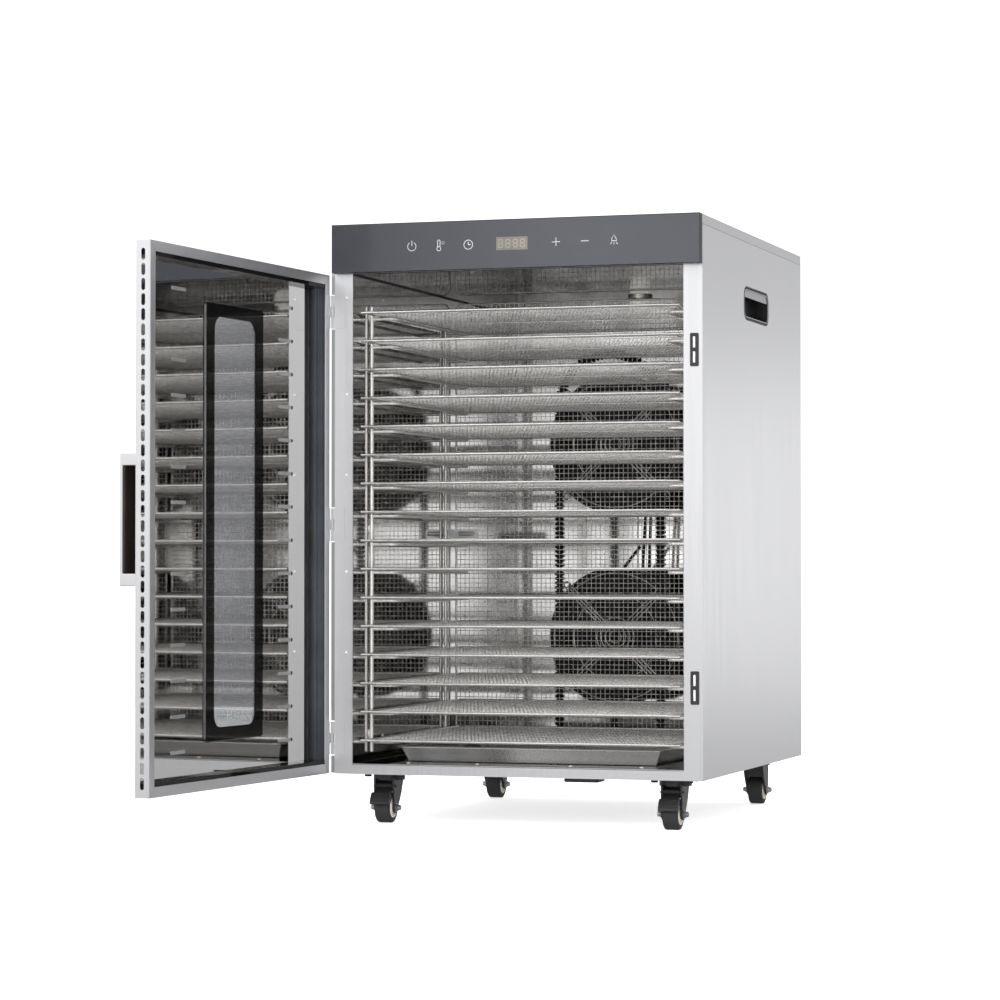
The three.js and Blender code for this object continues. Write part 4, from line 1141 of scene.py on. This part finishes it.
def camera():
    data = bpy.data.cameras.new("camera")
    data.sensor_width = 36
    data.lens = CAMERA_LENS
    made = placed("camera", data)
    made.location = CAMERA_PLACE
    made.rotation_euler = [radians(turn) for turn in CAMERA_TURN]
    bpy.context.scene.camera = made


def card(name, corners, finish):
    """A flat sheet of the studio's, which isn't part of the object."""
    mesh = bpy.data.meshes.new(name)
    mesh.from_pydata(corners, [], [(0, 1, 2, 3)])
    mesh.materials.append(finish.material)
    made = placed(name, mesh)
    return made


def floor():
    finish = Finish(
        "studio_floor", None, (0.93, 0.93, 0.93), 0.75,
        Specular_IOR_Level=0.15, Emission_Color=(1, 1, 1, 1), Emission_Strength=0.6,
    )
    finish.rough(finish.noise([2] * 3), 0.72, 0.8)
    reach = (-FLOOR_REACH, FLOOR_REACH)
    card("studio_floor", [(x, y, 0) for x, y in rectangle(reach, reach)], finish).visible_glossy = False


def flag():
    """A dark card at the camera's side, which the corner of the chamber's mirrors sends back to the eye."""
    finish = Finish("studio_flag", None, (0.01, 0.01, 0.012), 0.8)
    finish.rough(finish.noise([2] * 3), 0.75, 0.85)
    card("studio_flag", [(x, FLAG_Y, z) for x, z in rectangle(FLAG_XS, (0, FLAG_TOP))], finish)


def softbox(name, place, target, size, energy, reflected=True):
    light = bpy.data.lights.new(name, "AREA")
    light.shape = "RECTANGLE"
    light.size, light.size_y = size
    light.energy = energy
    holder = placed(name, light)
    holder.location = place
    holder.rotation_euler = (Vector(target) - Vector(place)).to_track_quat("-Z", "Y").to_euler()
    holder.visible_glossy = reflected
    holder.visible_camera = False


# Levels of light along X, for the halves of the sky before and behind the cabinet, and along Z.
FRONT_SKY = ((0.0, 0.8), (0.2, 1.2), (0.30, 1.3), (0.318, 0.30), (0.358, 1.35), (0.40, 0.95), (0.52, 1.0),
             (0.65, 1.6), (0.78, 0.7), (1.0, 0.4))
BACK_SKY = ((0.0, 0.85), (0.5, 0.75), (0.64, 0.60), (0.8, 0.55), (1.0, 0.7))
FRONT_HEIGHTS = ((0.0, 0.30), (0.44, 0.20), (0.456, 0.20), (0.467, 0.90), (0.51, 1.0), (0.56, 1.05),
                 (0.65, 0.9), (1.0, 0.8))
BACK_HEIGHTS = ((0.0, 0.30), (0.40, 0.45), (0.47, 0.85), (0.515, 1.0), (0.57, 1.0), (0.65, 0.9), (1.0, 0.85))
WHITE = 1.35


def mixed(tree, share, first, second, blend="MIX"):
    mix = tree.nodes.new("ShaderNodeMix")
    mix.data_type = "RGBA"
    mix.blend_type = blend
    connect(tree, mix.inputs[0], share)
    connect(tree, mix.inputs[6], first)
    connect(tree, mix.inputs[7], second)
    return mix.outputs[2]


def sky():
    """White to the eye and to matt surfaces; glossy ones see a sky with bright and dark bands."""
    world = bpy.data.worlds.new("studio")
    bpy.context.scene.world = world
    world.use_nodes = True
    tree = world.node_tree
    place = add_node(tree, "TexCoord").outputs["Generated"]
    split = add_node(tree, "SeparateXYZ", Vector=place).outputs

    def share(axis, first, last):
        return add_node(tree, "MapRange", Value=split[axis], From_Min=first, From_Max=last).outputs["Result"]

    def bands(source, levels):
        return add_ramp(tree, source, [(stop, (level, level, level * 1.01)) for stop, level in levels])

    across, height = share("X", -1.0, 1.0), share("Z", -1.0, 1.0)
    front = mixed(tree, 1.0, bands(across, FRONT_SKY), bands(height, FRONT_HEIGHTS), "MULTIPLY")
    back = mixed(tree, 1.0, bands(across, BACK_SKY), bands(height, BACK_HEIGHTS), "MULTIPLY")
    round_about = mixed(tree, share("Y", -0.2, 0.2), front, back)
    glossy = add_node(tree, "LightPath").outputs["Is Glossy Ray"]
    seen = mixed(tree, glossy, (WHITE, WHITE, WHITE, 1), round_about)
    background = tree.nodes["Background"]
    tree.links.new(seen, background.inputs["Color"])
    background.inputs["Strength"].default_value = 1.0


def studio():
    """The sky and five soft lights; the near one in front lights the trays and isn't reflected."""
    sky()
    softbox("front_softbox", (-0.40, -2.4, 0.66), (-0.40, 0, 0.66), (1.2, 1.0), 1.6)
    softbox("side_softbox", (1.3, 2.6, 0.38), (1.0, 0, 0.38), (1.0, 0.7), 1.6)
    softbox("key_light", (-1.6, -2.0, 2.4), (0, 0, 0.4), (1.2, 1.2), 8)
    softbox("fill_light", (2.8, -0.8, 1.6), (0.2, 0, 0.4), (1.2, 1.2), 5)
    softbox("front_light", (0.24, -0.66, 0.36), (0.05, 0.2, 0.36), (0.4, 0.4), 6.2, False)
    bpy.context.scene.view_settings.view_transform = "Standard"


# ---- Everything ----


def build():
    for step in (camera, cabinet_shell, hinge_strip, base, fasteners, magnets, carry_handles, inlet, fascia,
                 electronics):
        step()
    rack(-1, "left")
    rack(1, "right")
    for node in TRAYS:
        tray(node)
    drip_pan()
    guard()
    fan("upper")
    fan("lower")
    for step in (heater, sensor, lamp, cables, door_shell, door_fittings):
        step()
    for corner in CORNERS:
        castor(corner)
    pedal("left")
    pedal("right")
    floor()
    flag()
    studio()


build()
